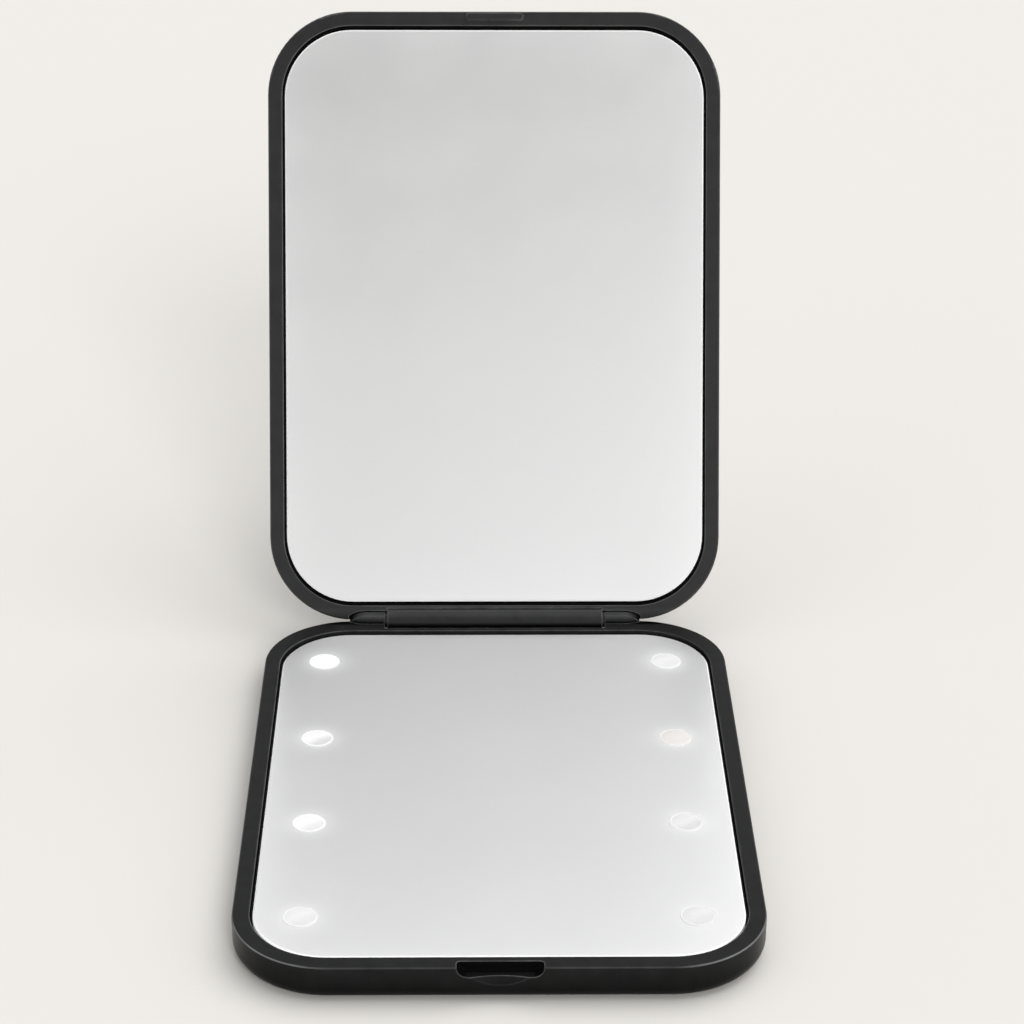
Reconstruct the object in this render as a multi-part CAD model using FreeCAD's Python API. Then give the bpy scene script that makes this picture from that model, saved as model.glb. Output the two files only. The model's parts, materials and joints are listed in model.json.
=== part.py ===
"""Folding compact mirror with a ring of lamps in its base: two rounded halves on a rear hinge.

Frame, in millimetres: origin at the centre of the base's underside, +X to the user's right, +Y to the
hinge at the back, +Z up. Each half is built in the same half frame: its outer skin is the plane z = 0,
its parting face is z = half_thickness, and its front edge is at -Y. The base stays in that frame. The
lid is turned over about the parting plane, which closes it, and then opened about the hinge axis.
"""

import math
import os

import FreeCAD
import Part

V = FreeCAD.Vector

# ---- driving sizes of both halves ----
half_width = 65.0
half_length = 87.5
half_thickness = 4.8
corner_radius = 12.0
back_edge_radius = 2.0        # round between a half's side wall and its outer skin
parting_edge_radius = 0.25    # small round at the parting face's outer edge
lip_edge_radius = 0.12        # small round on the inner edge of the rim
skin = 0.8                    # outer skin of each half
ledge = 1.0                   # shelf under the tray, all round
parting_gap = 0.1             # space between the closed halves
root = 0.1                    # fused-on ribs and posts start this far inside what they stand on
open_angle = 112.4            # between the two parting faces, as the mirror stands

# ---- rims, from a half's outside to the inner edge of the rim ----
base_rim = {"side": 2.15, "front": 2.3, "rear": 3.05}
lid_rim = {"side": 2.05, "front": 2.05, "rear": 2.05}

# ---- glass, tape and tray that fill each half ----
glass_recess = 0.35           # glass below the parting face
glass_thickness = 1.0
glass_bevel = 0.18
tape_thickness = 0.1
tape_inset = 1.5
tray_thickness = 0.4
tray_clearance = 0.1          # tray to rim
tray_wall = 0.15              # upstand round the glass
tray_wall_drop = 0.27         # top of the upstand below the glass's face
glass_clearance = 0.1         # glass to upstand
glass_end_clearance = 0.2     # and this much more at the front and rear ends

# ---- lamps ----
lamp_side = 8.35              # lamp centres from the side edges
lamp_front = 11.3             # first row from the front edge
lamp_rear = 11.7              # last row from the rear edge
lamp_rows = 4
lens_radius = 2.15
lens_clearance = 0.05
lens_dome = 0.33
lens_wall = 0.65              # round the hollow in a lens's foot
lens_pocket_depth = 0.35
lens_seat = 0.45              # ring of tray that a lens stands on
chip_size = (2.8, 3.5, 0.7)
chip_window_radius = 1.05
chip_window_depth = 0.12

# ---- lamp board ----
board_thickness = 0.6
board_standoff = 0.5
board_side = 5.1              # board's long edges from the half's side edges
board_front = 8.9             # board's front end from the half's front edge
board_rear = 7.9              # board's rear end from the half's rear edge
board_corner = 6.5
board_front_bar = 3.2
board_rear_bar = 3.4
board_middle_bar = 11.0
board_window_corner = 1.0
board_peg_radius = 0.8
board_peg_clearance = 0.1
board_peg_inset = 1.3         # peg centres from the board's long edges
board_peg_rise = 0.3          # pegs above the board
resistor_size = (1.6, 0.8, 0.45)
resistor_count = 4
resistor_pitch = 3.6
resistor_row = 2.5            # row's near side behind the middle bar's centre
sensor_size = (2.9, 1.3, 0.7)
sensor_edge = 0.12

# ---- coin cells, their bay, contacts and door ----
cell_radius = 10.0
cell_thickness = 1.6
cell_cap_radius = 8.6
cell_cap_step = 0.15
cell_edge = 0.2
cell_spacing = 1.4            # between the two cells
cell_from_front = 24.3        # cell centres from the front edge
bay_clearance = 0.25
bay_rib = 0.6
bay_rib_length = 17.0
end_rib_length = 5.5
door_clearance = 0.12
door_thickness = 0.7
door_sink = 0.1               # door's outer face above the base's underside
door_corner = 2.0
door_lead = 0.5               # bevel round the front end that lets the door tip out
door_pad_thickness = 0.15
door_pad_size = (34.0, 6.0)
hook_width = 2.4
hook_reach = 1.2
hook_root = 0.8               # from the door's front edge to the hook's riser
hook_thickness = 0.4
hook_lift = 0.05
tongue_x = (2.5, 5.0)         # each snap tongue, from and to
tongue_thickness = 0.6
tongue_height = 1.0
grip_grooves = 5
grip_groove_width = 0.5
grip_groove_pitch = 1.1
grip_groove_length = 9.0
grip_groove_depth = 0.2
nail_slot_radius = 4.0
nail_slot_depth = 0.35
nail_slot_offset = 1.8        # slot's centre behind the door's rear edge
contact_thickness = 0.1
contact_from_bar = 0.6        # contact feet behind the middle bar's front edge
spring_width = 5.0
spring_foot = 3.0
spring_reach = 9.0
spring_rise = 1.4             # length of the sloping part
clip_half_foot = 2.0
clip_bridge = 1.6
clip_blade_length = 9.0
clip_blade_lift = 0.2         # blades above the cells' undersides
clip_half_gap = 0.5

# ---- fasteners and magnets ----
screw_head_radius = 1.15
screw_head_height = 0.45
screw_radius = 0.55
screw_length = 1.75
screw_clearance = 0.02
screw_tip_clearance = 0.15    # screw tip to the bottom of its hole
screw_head_edge = 0.15
screw_slot = 0.25             # width of the cross
screw_slot_reach = 0.75
screw_slot_depth = 0.22
boss_wall = 1.05
tray_cup_wall = 0.5
screw_head_clearance = 0.1
tray_cup_depth = 0.97         # cup under the tray that takes a screw head, from the tray's top
cup_seat = 0.42               # plastic under the screw head
magnet_size = (8.0, 3.0, 1.3)
magnet_x = 9.0
magnet_from_front = 5.4
magnet_wall = 0.6
magnet_gap = 0.05
magnet_edge = 0.15
base_screw_x = (18.6, 17.5, 16.0)   # front, window and rear pairs, from the middle
board_screw_gap = 0.25        # screw posts to the board
lid_screw_inset = (12.5, 9.8)  # outer lid screws, from the side edges and from the ends
stiffener_width = 0.8
stiffener_count = 3
stiffener_pitch = 10.0

# ---- hinge ----
hinge_back = 0.06             # axis behind each half's rear edge
barrel_radius = 1.6
barrel_half_length = 15.6
barrel_edge = 0.12
barrel_crease = 0.15          # narrow groove where the barrel leaves the lid's parting face
ear_radius = 1.15
ear_edge = 0.1
ear_flat = 1.0                # flat top of an ear, above the axis
ear_straight = 2.8            # full-height part of an ear
ear_taper = 2.3               # outer part of an ear, which slopes down to the rim
ear_tip_radius = 0.5
ear_tip_drop = 0.05           # the slope ends this far below the axis
ear_side_gap = 0.3            # ear to barrel end, which a washer fills
ear_relief = 0.2              # lid to ear
washer_inset = 0.05           # washer's rim below the ear's
washer_clearance = 0.02       # washer to ear, barrel and pin
barrel_clearance = 0.76       # base to barrel, in front
barrel_floor_clearance = 0.35
pin_radius = 0.5
pin_press = 0.01
pin_edge = 0.1
pin_half_length = 19.6
pin_bore_end = 0.3            # blind bore in each ear runs past the pin by this
sleeve_wall = 0.38
sleeve_length = 7.0
sleeve_running = 0.02
sleeve_slit = 0.3
sleeve_end_clearance = 0.1
barrel_bore_clearance = 0.12

# ---- thumb notch in the base and the tab that drops into it ----
notch_half_width = 5.2
notch_depth = 1.4
notch_height = 1.4
notch_corner = 1.35
notch_back_corner = 0.5
scoop_radius = 6.1            # of the scoop's outline on the front wall
scoop_bottom = 2.5            # lowest point of the scoop below the parting face
scoop_ball_radius = 14.0
tab_side_clearance = 1.1
tab_back_clearance = 0.15
tab_from_edge = 0.25
tab_height = 0.5
tab_edge = 0.15
tab_corner = 0.42
tab_root = 0.3

# ---- places worked out from the sizes above ----
half_x = half_width / 2
half_y = half_length / 2
glass_top = half_thickness - glass_recess
glass_bottom = glass_top - glass_thickness
tray_top = glass_bottom - tape_thickness
tray_bottom = tray_top - tray_thickness
hinge_y = half_y + hinge_back
hinge_z = half_thickness + parting_gap / 2
lamp_x = half_x - lamp_side
board_half_width = half_x - board_side
board_bottom = skin + board_standoff
board_top = board_bottom + board_thickness
cell_x = cell_radius + cell_spacing / 2
cell_y = -half_y + cell_from_front
bay_half_x = cell_x + cell_radius + bay_clearance
bay_low_y = cell_y - cell_radius - bay_clearance
bay_high_y = cell_y + cell_radius + bay_clearance
door_top = door_sink + door_thickness
cell_bottom = door_top + door_pad_thickness
cell_top = cell_bottom + cell_thickness
middle_bar_low = bay_high_y + bay_rib + 2 * bay_clearance
middle_bar_high = middle_bar_low + board_middle_bar
magnet_y = -half_y + magnet_from_front
boss_top = tray_top - tray_cup_depth
boss_radius = screw_radius + boss_wall
tray_cup_radius = screw_head_radius + screw_head_clearance + tray_cup_wall
lens_pocket_radius = lens_radius - lens_wall
light_hole_radius = lens_radius - lens_seat
barrel_notch_depth = barrel_radius + barrel_clearance - hinge_back
sleeve_radius = pin_radius + sleeve_running + sleeve_wall
tab_half_width = notch_half_width - tab_side_clearance
tab_depth = notch_depth - tab_from_edge - tab_back_clearance
ear_inner = barrel_half_length + ear_side_gap
ear_outer = ear_inner + ear_straight + ear_taper


# ---- shape helpers ----
def box(x_low, x_high, y_low, y_high, z_low, z_high):
    """Block between two corners."""
    return Part.makeBox(x_high - x_low, y_high - y_low, z_high - z_low, V(x_low, y_low, z_low))


def disc(x, y, z_low, z_high, radius):
    """Upright cylinder."""
    return Part.makeCylinder(radius, z_high - z_low, V(x, y, z_low))


def rod(x_low, x_high, y, z, radius):
    """Cylinder along X."""
    return Part.makeCylinder(radius, x_high - x_low, V(x_low, y, z), V(1, 0, 0))


def outline(half_wide, y_low, y_high, radius, z):
    """Closed wire of a rounded rectangle that is centred on x = 0."""
    right, left = half_wide, -half_wide
    edges, ends = [], []
    for x, y, start in ((right, y_high, 0), (left, y_high, 90), (left, y_low, 180), (right, y_low, 270)):
        cx = x - math.copysign(radius, x)
        cy = y - radius if y == y_high else y + radius
        around = [V(cx + radius * math.cos(math.radians(start + turn)),
                    cy + radius * math.sin(math.radians(start + turn)), z) for turn in (0, 45, 90)]
        edges.append(Part.Arc(*around).toShape())
        ends.append((around[0], around[2]))
    for index, (_, leave) in enumerate(ends):
        arrive = ends[(index + 1) % len(ends)][0]
        edges.append(Part.makeLine(leave, arrive))
    return Part.Wire(Part.__sortEdges__(edges))


def plate(half_wide, y_low, y_high, radius, z_low, z_high):
    """Rounded rectangular plate."""
    face = Part.Face(outline(half_wide, y_low, y_high, radius, z_low))
    return face.extrude(V(0, 0, z_high - z_low))


def edges_at(shape, z, half_wide=None):
    """Edges that lie in the plane z, and only those within half_wide of x = 0 if that is given."""
    found = []
    for edge in shape.Edges:
        b = edge.BoundBox
        flat = abs(b.ZMin - z) < 1e-6 and abs(b.ZMax - z) < 1e-6
        if flat and (half_wide is None or max(abs(b.XMin), abs(b.XMax)) < half_wide + 1e-3):
            found.append(edge)
    return found


def prism_x(points, x_low, x_high):
    """Profile of (y, z) points, drawn out along X."""
    loop = [V(x_low, y, z) for y, z in points]
    return Part.Face(Part.makePolygon(loop + loop[:1])).extrude(V(x_high - x_low, 0, 0))


def fuse(first, *others):
    """One solid from touching or overlapping pieces."""
    return first.multiFuse(list(others)).removeSplitter()


def opening_of(rim):
    """Half width, low Y, high Y and corner radius of the opening inside a rim."""
    return (half_x - rim["side"], -half_y + rim["front"], half_y - rim["rear"], corner_radius - rim["side"])


def inset(area, by):
    """The same rounded rectangle, smaller all round."""
    half_wide, y_low, y_high, radius = area
    return half_wide - by, y_low + by, y_high - by, radius - by


def lamp_ys():
    """Lamp rows, from the front to the rear."""
    pitch = (half_length - lamp_front - lamp_rear) / (lamp_rows - 1)
    return [-half_y + lamp_front + row * pitch for row in range(lamp_rows)]


def lamp_places():
    """Lamp centres, up the left side and then up the right."""
    return [(side * lamp_x, y) for side in (-1, 1) for y in lamp_ys()]


def base_screws():
    """Tray screw centres in the base: in front of the board, in its long window and behind it."""
    front = -half_y + board_front - boss_radius - board_screw_gap
    window = middle_bar_high + boss_radius + board_screw_gap
    rear = half_y - board_rear + boss_radius + board_screw_gap
    rows = ((base_screw_x[0], front), (base_screw_x[1], window), (base_screw_x[2], rear))
    return [(side * x, y) for side in (-1, 1) for x, y in rows]


def lid_screws():
    """Tray screw centres in the lid."""
    x = half_x - lid_screw_inset[0]
    end = half_y - lid_screw_inset[1]
    return [(side * x, y) for side in (-1, 1) for y in (-end, 0, end)]


def board_pegs():
    """Locating pegs of the board, halfway between the first two lamps and the last two."""
    ys = lamp_ys()
    between = ((ys[0] + ys[1]) / 2, (ys[-2] + ys[-1]) / 2)
    return [(side * (board_half_width - board_peg_inset), y) for side in (-1, 1) for y in between]


# ---- pieces that both halves share ----
def half_shell(rim):
    """Moulded pan: rounded outside, rim, shelf for the tray and a hollow under it."""
    body = plate(half_x, -half_y, half_y, corner_radius, 0, half_thickness)
    body = body.makeFillet(back_edge_radius, edges_at(body, 0))
    body = body.makeFillet(parting_edge_radius, edges_at(body, half_thickness))
    area = opening_of(rim)
    body = body.cut(plate(*area, tray_bottom, half_thickness + 1))
    body = body.makeFillet(lip_edge_radius, edges_at(body, half_thickness, area[0]))
    return body.cut(plate(*inset(area, ledge), skin, tray_bottom))


def bosses(places):
    """Screw posts that stand on the skin."""
    return [disc(x, y, skin - root, boss_top, boss_radius) for x, y in places]


def pilot_holes(places):
    """Blind holes for the screws, from the top of their posts."""
    low = boss_top - screw_length
    return [disc(x, y, low, boss_top + 1, screw_radius + screw_clearance) for x, y in places]


def magnet_pockets():
    """Low walls round each magnet's seat."""
    long, deep, high = magnet_size
    walls = []
    for side in (-1, 1):
        x = side * magnet_x
        reach_x = long / 2 + magnet_gap + magnet_wall
        reach_y = deep / 2 + magnet_gap + magnet_wall
        block = box(x - reach_x, x + reach_x, magnet_y - reach_y, magnet_y + reach_y, skin - root, skin + high)
        seat_x = reach_x - magnet_wall
        seat_y = reach_y - magnet_wall
        seat = box(x - seat_x, x + seat_x, magnet_y - seat_y, magnet_y + seat_y, skin, skin + high + 1)
        walls.append(block.cut(seat))
    return walls


def magnet(side):
    """Block magnet or keeper in its seat."""
    long, deep, high = magnet_size
    x = side * magnet_x
    block = box(x - long / 2, x + long / 2, magnet_y - deep / 2, magnet_y + deep / 2, skin, skin + high)
    return block.makeChamfer(magnet_edge, block.Edges)


def tray(rim, screws):
    """Thin carrier for the glass, with an upstand round it and cups for the screws."""
    area = inset(opening_of(rim), tray_clearance)
    body = plate(*area, tray_bottom, glass_top - tray_wall_drop)
    body = body.cut(plate(*inset(area, tray_wall), tray_top, glass_top))
    body = fuse(body, *[disc(x, y, boss_top, tray_top, tray_cup_radius) for x, y in screws])
    head = screw_head_radius + screw_head_clearance
    shank = screw_radius + screw_head_clearance
    for x, y in screws:
        body = body.cut(disc(x, y, boss_top + cup_seat, tray_top + 1, head))
        body = body.cut(disc(x, y, boss_top - 1, tray_top, shank))
    return body


def glass_area(rim):
    """Outline of the glass inside the tray's upstand, a little shorter than its seat."""
    wide, low, high, radius = inset(opening_of(rim), tray_clearance + tray_wall + glass_clearance)
    return wide, low + glass_end_clearance, high - glass_end_clearance, radius


def glass(rim):
    """Mirror glass with a ground bevel round its face."""
    pane = plate(*glass_area(rim), glass_bottom, glass_top)
    return pane.makeChamfer(glass_bevel, edges_at(pane, glass_top))


def tape(rim, screws):
    """Double-sided tape sheet, cut away over each screw."""
    sheet = plate(*inset(glass_area(rim), tape_inset), tray_top, glass_bottom)
    for x, y in screws:
        sheet = sheet.cut(disc(x, y, tray_top - 1, glass_bottom + 1, tray_cup_radius))
    return sheet


def screws_at(places):
    """Cross-head tray screws, one solid each."""
    solids = []
    seat = boss_top + cup_seat
    for x, y in places:
        head = disc(x, y, seat, seat + screw_head_height, screw_head_radius)
        head = head.makeFillet(screw_head_edge, edges_at(head, seat + screw_head_height))
        shank = disc(x, y, boss_top - screw_length + screw_tip_clearance, seat, screw_radius)
        screw = fuse(head, shank)
        slot_low = seat + screw_head_height - screw_slot_depth
        for wide, deep in ((screw_slot_reach, screw_slot / 2), (screw_slot / 2, screw_slot_reach)):
            screw = screw.cut(box(x - wide, x + wide, y - deep, y + deep, slot_low, slot_low + 1))
        solids.append(screw)
    return Part.makeCompound(solids)


# ---- base pieces ----
def falling_arc(x, z, run, drop):
    """Arc in the plane y = 0 that starts level at (x, z) and ends run further on and drop lower."""
    radius = (run ** 2 + drop ** 2) / (2 * drop)
    half_turn = math.asin(run / radius) / 2
    middle = V(x + radius * math.sin(half_turn), 0, z - radius * (1 - math.cos(half_turn)))
    return Part.Arc(V(x, 0, z), middle, V(x + run, 0, z - drop)).toShape()


def path_face(corners, arc):
    """Face in the plane y = 0: straight edges through the corners, closed by an arc."""
    edges = [Part.makeLine(V(x, 0, z), V(nx, 0, nz)) for (x, z), (nx, nz) in zip(corners, corners[1:])]
    return Part.Face(Part.Wire(Part.__sortEdges__(edges + [arc])))


def turned_ear(start, grow, edge):
    """Right ear as a body of revolution about the hinge axis, grown on every side."""
    radius = ear_radius + grow
    tip = ear_tip_radius + grow
    full = ear_inner + ear_straight
    end = ear_outer + grow
    arc = falling_arc(full, radius, end - full, radius - tip)
    corners = [(end, tip), (end, 0), (start, 0)]
    if edge > 0:
        corners.append((start, radius - edge))
    corners += [(start + edge, radius), (full, radius)]
    body = path_face(corners, arc).revolve(V(0, 0, 0), V(1, 0, 0), 360)
    body.translate(V(0, hinge_y, hinge_z))
    return body


def both_sides(body):
    """A right-hand shape and its mirror image."""
    return [body, body.mirror(V(0, 0, 0), V(1, 0, 0))]


def hinge_ears():
    """The base's two hinge ears: flat on top, and sloping down in an arc at the outer end."""
    full = ear_inner + ear_straight
    deep = 2 * ear_radius
    arc = falling_arc(full, ear_flat, ear_taper, ear_flat + ear_tip_drop)
    corners = [(ear_outer, -ear_tip_drop), (ear_outer, -deep), (0, -deep), (0, ear_flat), (full, ear_flat)]
    under_slope = path_face(corners, arc).extrude(V(0, 2 * deep, 0))
    under_slope.translate(V(0, hinge_y - deep, hinge_z))
    return both_sides(turned_ear(ear_inner, 0, ear_edge).common(under_slope))


def thumb_notch():
    """Cutter for the notch in the front rim: square-cut at the back, rounded at its lower corners."""
    low = half_thickness - notch_height
    wide = notch_half_width
    c = notch_corner
    turn = c * (1 - math.cos(math.pi / 4))
    front = -half_y - 1
    points = [V(-wide, front, half_thickness + 1), V(-wide, front, low + c), V(-wide + c, front, low),
              V(wide - c, front, low), V(wide, front, low + c), V(wide, front, half_thickness + 1)]
    edges = [
        Part.makeLine(points[0], points[1]),
        Part.Arc(points[1], V(-wide + turn, front, low + turn), points[2]).toShape(),
        Part.makeLine(points[2], points[3]),
        Part.Arc(points[3], V(wide - turn, front, low + turn), points[4]).toShape(),
        Part.makeLine(points[4], points[5]),
        Part.makeLine(points[5], points[0]),
    ]
    cutter = Part.Face(Part.Wire(edges)).extrude(V(0, 1 + notch_depth, 0))
    back = [e for e in cutter.Edges if abs(e.BoundBox.YMin + half_y - notch_depth) < 1e-6
            and abs(abs(e.BoundBox.XMin) - wide) < 1e-6 and abs(e.BoundBox.XLength) < 1e-6]
    return cutter.makeFillet(notch_back_corner, back)


def thumb_scoop():
    """Cutter for the shallow crescent in the front wall under the notch, which fades out downwards."""
    centre_z = half_thickness - scoop_bottom + scoop_radius
    forward = math.sqrt(scoop_ball_radius ** 2 - scoop_radius ** 2)
    ball = Part.makeSphere(scoop_ball_radius, V(0, -half_y - forward, centre_z))
    return ball.common(box(-half_x, half_x, -half_y - 1, half_y, 0, half_thickness - notch_height))


def bay_ribs():
    """Ribs on the skin that keep the cells in place: one at each side, and short ones behind."""
    side_low = cell_y - bay_rib_length / 2
    side_high = cell_y + bay_rib_length / 2
    ribs = []
    for side in (-1, 1):
        near, far = sorted((side * bay_half_x, side * (bay_half_x + bay_rib)))
        ribs.append(box(near, far, side_low, side_high, skin - root, cell_top))
        low, high = sorted((side * (bay_half_x - end_rib_length), side * bay_half_x))
        ribs.append(box(low, high, bay_high_y, bay_high_y + bay_rib, skin - root, cell_top))
    return ribs


def base_shell():
    """Lower casing with the hinge ears, the battery opening and the posts for what it holds."""
    body = half_shell(base_rim)
    notch_floor = hinge_z - barrel_radius - barrel_floor_clearance
    notch_front = half_y - barrel_notch_depth
    body = body.cut(box(-ear_inner, ear_inner, notch_front, half_y + 1, notch_floor, half_thickness + 1))
    body = fuse(body, *hinge_ears())
    bore_end = pin_half_length + pin_bore_end
    body = body.cut(rod(-bore_end, bore_end, hinge_y, hinge_z, pin_radius + pin_press))
    body = body.cut(thumb_notch()).cut(thumb_scoop())
    body = body.cut(plate(bay_half_x, bay_low_y, bay_high_y, door_corner, -1, skin + 1))
    pegs = [disc(x, y, skin - root, board_top + board_peg_rise, board_peg_radius) for x, y in board_pegs()]
    pads = [disc(x, y, skin - root, board_bottom, 2 * board_peg_radius) for x, y in board_pegs()]
    pads += [disc(side * x, y, skin - root, board_bottom, board_peg_radius)
             for side in (-1, 1) for x, y in ((lamp_x, lamp_places()[0][1]), (lamp_x, lamp_places()[3][1]))]
    body = fuse(body, *bosses(base_screws()), *pegs, *pads, *bay_ribs(), *magnet_pockets())
    for hole in pilot_holes(base_screws()):
        body = body.cut(hole)
    return body


def base_tray():
    """Tray of the base, with a hole under each lens."""
    body = tray(base_rim, base_screws())
    for x, y in lamp_places():
        body = body.cut(disc(x, y, tray_bottom - 1, tray_top + 1, light_hole_radius))
    return body


def base_glass():
    """Mirror of the base, drilled for the eight lenses."""
    body = glass(base_rim)
    for x, y in lamp_places():
        body = body.cut(disc(x, y, glass_bottom - 1, glass_top + 1, lens_radius + lens_clearance))
    return body


def base_tape():
    """Tape of the base, cut away round the lenses."""
    body = tape(base_rim, base_screws())
    for x, y in lamp_places():
        body = body.cut(disc(x, y, tray_top - 1, glass_bottom + 1, lens_radius + 2 * lens_clearance))
    return body


def lens(x, y):
    """Milky lens: a plug through the glass with a low dome, hollowed underneath."""
    dome_radius = (lens_radius ** 2 + lens_dome ** 2) / (2 * lens_dome)
    plug = disc(x, y, tray_top, glass_top + lens_dome + 1, lens_radius)
    ball = Part.makeSphere(dome_radius, V(x, y, glass_top + lens_dome - dome_radius))
    return plug.common(ball).cut(disc(x, y, tray_top - 1, tray_top + lens_pocket_depth, lens_pocket_radius))


def lamp_chip(x, y):
    """Surface-mount lamp with the round well of its phosphor."""
    wide, long, high = chip_size
    body = box(x - wide / 2, x + wide / 2, y - long / 2, y + long / 2, board_top, board_top + high)
    well_low = board_top + high - chip_window_depth
    return body.cut(disc(x, y, well_low, board_top + high + 1, chip_window_radius))


def lamp_board():
    """Frame-shaped circuit board round the cells and a long open window."""
    low = -half_y + board_front
    high = half_y - board_rear
    body = plate(board_half_width, low, high, board_corner, board_bottom, board_top)
    window_half = bay_half_x + bay_rib + bay_clearance
    windows = ((low + board_front_bar, middle_bar_low), (middle_bar_high, high - board_rear_bar))
    for near, far in windows:
        body = body.cut(plate(window_half, near, far, board_window_corner, board_bottom - 1, board_top + 1))
    for x, y in board_pegs():
        hole = board_peg_radius + board_peg_clearance
        body = body.cut(disc(x, y, board_bottom - 1, board_top + 1, hole))
    return body


def resistors():
    """Chip resistors in a row on the board's middle bar."""
    long, deep, high = resistor_size
    y = (middle_bar_low + middle_bar_high) / 2 + resistor_row
    first = -resistor_pitch * (resistor_count - 1) / 2
    places = [first + n * resistor_pitch for n in range(resistor_count)]
    return Part.makeCompound([box(x - long / 2, x + long / 2, y, y + deep, board_top, board_top + high)
                              for x in places])


def magnet_sensor():
    """Magnetic switch on the board's front bar, behind the left keeper."""
    long, deep, high = sensor_size
    y = -half_y + board_front + board_front_bar / 2
    top = board_top + high
    body = box(-magnet_x - long / 2, -magnet_x + long / 2, y - deep / 2, y + deep / 2, board_top, top)
    return body.makeChamfer(sensor_edge, edges_at(body, top))


def coin_cell(side):
    """Flat coin cell: a can with its smaller cap on top."""
    x = side * cell_x
    can = disc(x, cell_y, cell_bottom, cell_top - cell_cap_step, cell_radius)
    can = can.makeFillet(cell_edge, edges_at(can, cell_top - cell_cap_step) + edges_at(can, cell_bottom))
    return fuse(can, disc(x, cell_y, cell_top - cell_cap_step - root, cell_top, cell_cap_radius))


def cell_spring(side):
    """Leaf that runs from the board's middle bar up onto a cell's cap."""
    t = contact_thickness
    foot_low = middle_bar_low + contact_from_bar
    tip = foot_low - spring_reach
    step = foot_low - spring_rise
    end = foot_low + spring_foot
    points = [(end, board_top), (end, board_top + t), (foot_low, board_top + t), (step, cell_top + t),
              (tip, cell_top + t), (tip, cell_top), (step, cell_top), (foot_low, board_top)]
    x = side * cell_x
    return prism_x(points, x - spring_width / 2, x + spring_width / 2)


def cell_clip():
    """Two blades between the cells' rims, on a foot soldered to the middle bar."""
    t = contact_thickness
    y = middle_bar_low + contact_from_bar
    front = y - clip_bridge
    wide = clip_half_gap + t
    foot = box(-clip_half_foot, clip_half_foot, y, y + spring_foot, board_top, board_top + t)
    bridge = box(-wide, wide, front, y + t, board_top, board_top + t)
    blades = [box(x, x + t, front - clip_blade_length, front + t, cell_bottom + clip_blade_lift, board_top + t)
              for x in (-wide, clip_half_gap)]
    return fuse(foot, bridge, *blades)


# ---- battery door ----
def battery_door():
    """Door in the underside: hooks at the front, snap tongues, nail slot and grip grooves at the rear."""
    half_wide = bay_half_x - door_clearance
    low = bay_low_y + door_clearance
    high = bay_high_y - door_clearance
    body = plate(half_wide, low, high, door_corner, door_sink, door_top)
    front = [edge for edge in edges_at(body, door_sink) if edge.BoundBox.YMax < low + door_corner + 1e-3]
    body = body.makeChamfer(door_lead, front)
    hook_top = skin + hook_lift + hook_thickness
    hook_outer = bay_half_x - door_corner
    riser_end = low + hook_root + hook_thickness
    for side in (-1, 1):
        x_low, x_high = sorted((side * hook_outer, side * (hook_outer - hook_width)))
        riser = box(x_low, x_high, low + hook_root, riser_end, door_top - hook_lift, hook_top)
        arm = box(x_low, x_high, low - hook_reach, riser_end, skin + hook_lift, hook_top)
        x_low, x_high = sorted((side * tongue_x[0], side * tongue_x[1]))
        tongue_low, tongue_top = door_top - hook_lift, door_top + tongue_height
        tongue = box(x_low, x_high, high - tongue_thickness, high, tongue_low, tongue_top)
        body = fuse(body, riser, arm, tongue)
    for n in range(grip_grooves):
        y = high - nail_slot_radius - (n + 1) * grip_groove_pitch
        groove = box(-grip_groove_length / 2, grip_groove_length / 2, y - grip_groove_width / 2,
                     y + grip_groove_width / 2, door_sink - 1, door_sink + grip_groove_depth)
        body = body.cut(groove)
    slot_y = high + nail_slot_offset
    return body.cut(disc(0, slot_y, door_sink - 1, door_sink + nail_slot_depth, nail_slot_radius))


def door_pad():
    """Foam strip on the door that presses the cells against their springs."""
    long, deep = door_pad_size
    return box(-long / 2, long / 2, cell_y - deep / 2, cell_y + deep / 2, door_top, cell_bottom)


# ---- lid pieces, in the half frame ----
def lid_stiffeners():
    """Lengthways and crosswise ribs on the inside of the lid's skin."""
    wide, low, high, _ = inset(opening_of(lid_rim), ledge)
    half = stiffener_width / 2
    overlap = 0.2
    ribs = []
    behind_magnets = magnet_y + magnet_size[1] / 2 + magnet_gap + magnet_wall
    for n in range(stiffener_count):
        x = (n - (stiffener_count - 1) / 2) * stiffener_pitch
        ribs.append(box(x - half, x + half, behind_magnets, high + overlap, skin - root, tray_bottom))
    for y in (low / 2, high / 2):
        ribs.append(box(-wide - overlap, wide + overlap, y - half, y + half, skin - root, tray_bottom))
    return ribs


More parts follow.
